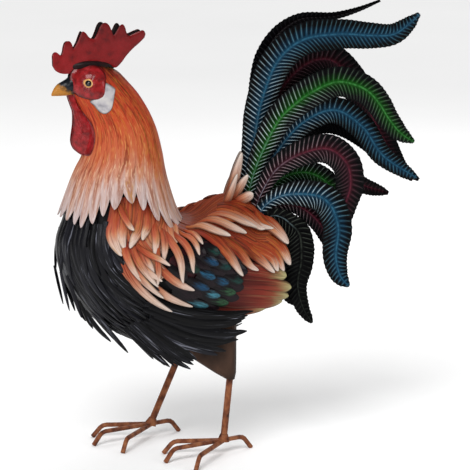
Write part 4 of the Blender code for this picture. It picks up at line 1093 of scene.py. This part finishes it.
tail = {   # widths are (share of the length, share of the widest)
    "slim": [(0.0, 0.28), (0.12, 0.4), (0.28, 0.52), (0.4, 0.75), (0.52, 0.95), (0.62, 0.85), (0.74, 0.52),
             (0.86, 0.34), (1.0, 0.1)],
    "drawnIn": [(0.0, 0.28), (0.12, 0.5), (0.28, 0.86), (0.45, 1.0), (0.6, 0.9), (0.72, 0.7), (0.86, 0.52),
                (0.96, 0.32), (1.0, 0.1)],
    "widths": [(0.0, 0.28), (0.12, 0.5), (0.28, 0.86), (0.45, 1.0), (0.65, 0.95), (0.8, 0.78), (0.9, 0.6),
               (0.96, 0.4), (1.0, 0.12)],
    "slantOut": [(0, 0.7), (0.35, 0.45), (0.55, 0.15), (0.75, 0.4), (1, 0.6)],
    "slantIn": [(0, 1.0), (0.4, 0.75), (1, 0.85)],
    "barbStep": 5.1, "rowsPerBarb": 6, "columns": 18, "emboss": 0.75, "crown": 1.8, "midrib": 1.0, "sheet": 1.0,
    "serration": 0.45, "root": (60, 258), "spread": 0.0085, "endTaper": 30,
}


def plumeOutline(u, v, line, width, profile):   # side view of each point, and how strong its barb is
    run = lengthsOf(line)
    side = np.abs(u)
    barb = (0.5 - 0.5 * np.cos(2 * math.pi * v * int(run[-1] / tail["barbStep"]))) ** 2.2
    half = width / 2 * np.interp(v, *zip(*tail[profile]))
    half = half * (1 - tail["serration"] / np.maximum(half, 3) * (1 - barb) * np.clip((side - 0.8) / 0.2, 0, 1))
    slant = np.where(u > 0, *(np.interp(v, *zip(*tail[edge])) for edge in ("slantOut", "slantIn"))) * half * side
    distance = v * run[-1]
    ends = np.clip((run[-1] - distance) / tail["endTaper"], 0, 1) * np.clip(distance / tail["endTaper"], 0, 1)
    distance = np.clip(distance + slant * ends, 0, run[-1])
    ahead = readAlong(distance, run, unit(np.gradient(line, axis=0)))
    across = unit(np.stack([-ahead[:, 1], ahead[:, 0]], 1))
    return readAlong(distance, run, line) + across * (u * half)[:, None], barb


def makeTailFeather(label, path, width, rootY, profile="widths"):
    line = evenly(path, 600)
    barbs = int(lengthsOf(line)[-1] / tail["barbStep"])
    feather, across, v = newGrid(f"tail_feather_{label}_plume", tail["columns"], barbs * tail["rowsPerBarb"])
    u = 2 * across - 1
    u = np.sign(u) * np.abs(u) ** 0.9
    side = np.abs(u)
    flat, barb = plumeOutline(u, v, line, width, profile)
    depth = rootY * (1 + tail["spread"] * np.hypot(flat[:, 0] - tail["root"][0], flat[:, 1] - tail["root"][1]))
    relief = tail["crown"] * (1 - side) * np.minimum(1, v * 4) + tail["midrib"] * np.exp(-(side / 0.1) ** 2)
    relief += tail["emboss"] * barb * np.clip(side / 0.12, 0, 1) * np.clip((1.02 - side) / 0.1, 0, 1)
    placeInBird(feather, np.stack([flat[:, 0], depth + math.copysign(1, rootY) * relief, flat[:, 1]], 1))
    setPointValues(feather, "share", v)
    scaleUv(feather, 1.0, barbs)
    applyModifier(feather, "SOLIDIFY", thickness=tail["sheet"] * millimetre, offset=0)
    closeShell(feather)
    setTone(feather, draw.uniform())
    colour = label.split("_")[1]
    finishPiece(feather, tailPaints[colour], [f"tail_feather_{label}"], 50)


for plumeLabel, plume in tailFeathers.items():
    makeTailFeather(plumeLabel, *plume)
print("tail made")

# The legs, feet, thighs and body keep their CAD solids, in their own paint
for start, paint in {"leg": rodPaint, "foot": rodPaint, "thigh": thighPaint, "body": bodyPaint}.items():
    for nodeName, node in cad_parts.items():
        if nodeName.startswith(start):
            node.data.materials.clear()
            node.data.materials.append(paint)

for spare in blanks.values():
    bpy.data.objects.remove(spare)

studio = {
    "aim": (-0.00776, 0.01839, 0.2398), "azimuth": -15.0, "elevation": 11.0, "distance": 3.0,
    "lens": 203.9, "sensor": 36, "air": 0.5, "dimmerInReflections": 0.7,
    # kind, place, size (degrees for the sun), power
    "lamps": [("SUN", (-0.9, -1.5, 2.2), 30, 1.7), ("AREA", (-1.5, -1.2, 0.8), 0.9, 9),
              ("AREA", (1.6, -1.7, 1.0), 0.8, 7), ("AREA", (0.9, 1.4, 1.6), 1.2, 12)],
}


def makeFloor():
    deselectAll()
    bpy.ops.mesh.primitive_plane_add(size=30, location=(0, 0, 0))
    floor = bpy.context.object
    floor.name = "studio_floor"
    paper, tree = startMaterial("studioPaper", Roughness=0.9)
    tree.links.new(ramp(tree, objectNoise(tree, 1.5), (0.3, "fafafa"), (0.7, "fdfdfd")),
                   tree.nodes["Principled BSDF"].inputs["Base Color"])
    floor.data.materials.append(paper)


def makeAir():
    world = bpy.data.worlds.new("studioAir")
    world.use_nodes = True
    tree = world.node_tree
    background = tree.nodes["Background"]
    background.inputs[0].default_value = (1, 1, 1, 1)
    mirrored = putNode(tree, "LightPath").outputs["Is Glossy Ray"]   # reflections see a dimmer room
    dimmer = maths(tree, "SUBTRACT", 1.0, times(tree, mirrored, studio["dimmerInReflections"]))
    tree.links.new(times(tree, dimmer, studio["air"]), background.inputs[1])
    bpy.context.scene.world = world


def makeLamps():
    for kind, place, size, power in studio["lamps"]:
        bpy.ops.object.light_add(type=kind, location=place)
        lamp = bpy.context.object
        lamp.data.energy = power
        if kind == "SUN":
            lamp.data.angle = math.radians(size)
        else:
            lamp.data.size = size
        lamp.rotation_euler = (Vector(studio["aim"]) - Vector(place)).to_track_quat("-Z", "Y").to_euler()


def makeCamera():
    azimuth, elevation = math.radians(studio["azimuth"]), math.radians(studio["elevation"])
    back = Vector((math.sin(azimuth) * math.cos(elevation), -math.cos(azimuth) * math.cos(elevation),
                   math.sin(elevation)))
    bpy.ops.object.camera_add(location=Vector(studio["aim"]) + back * studio["distance"])
    camera = bpy.context.object
    camera.rotation_euler = (-back).to_track_quat("-Z", "Y").to_euler()
    camera.data.lens = studio["lens"]
    camera.data.sensor_width = studio["sensor"]
    bpy.context.scene.camera = camera
    bpy.context.scene.view_settings.view_transform = "Standard"


makeFloor()
makeAir()
makeLamps()
makeCamera()
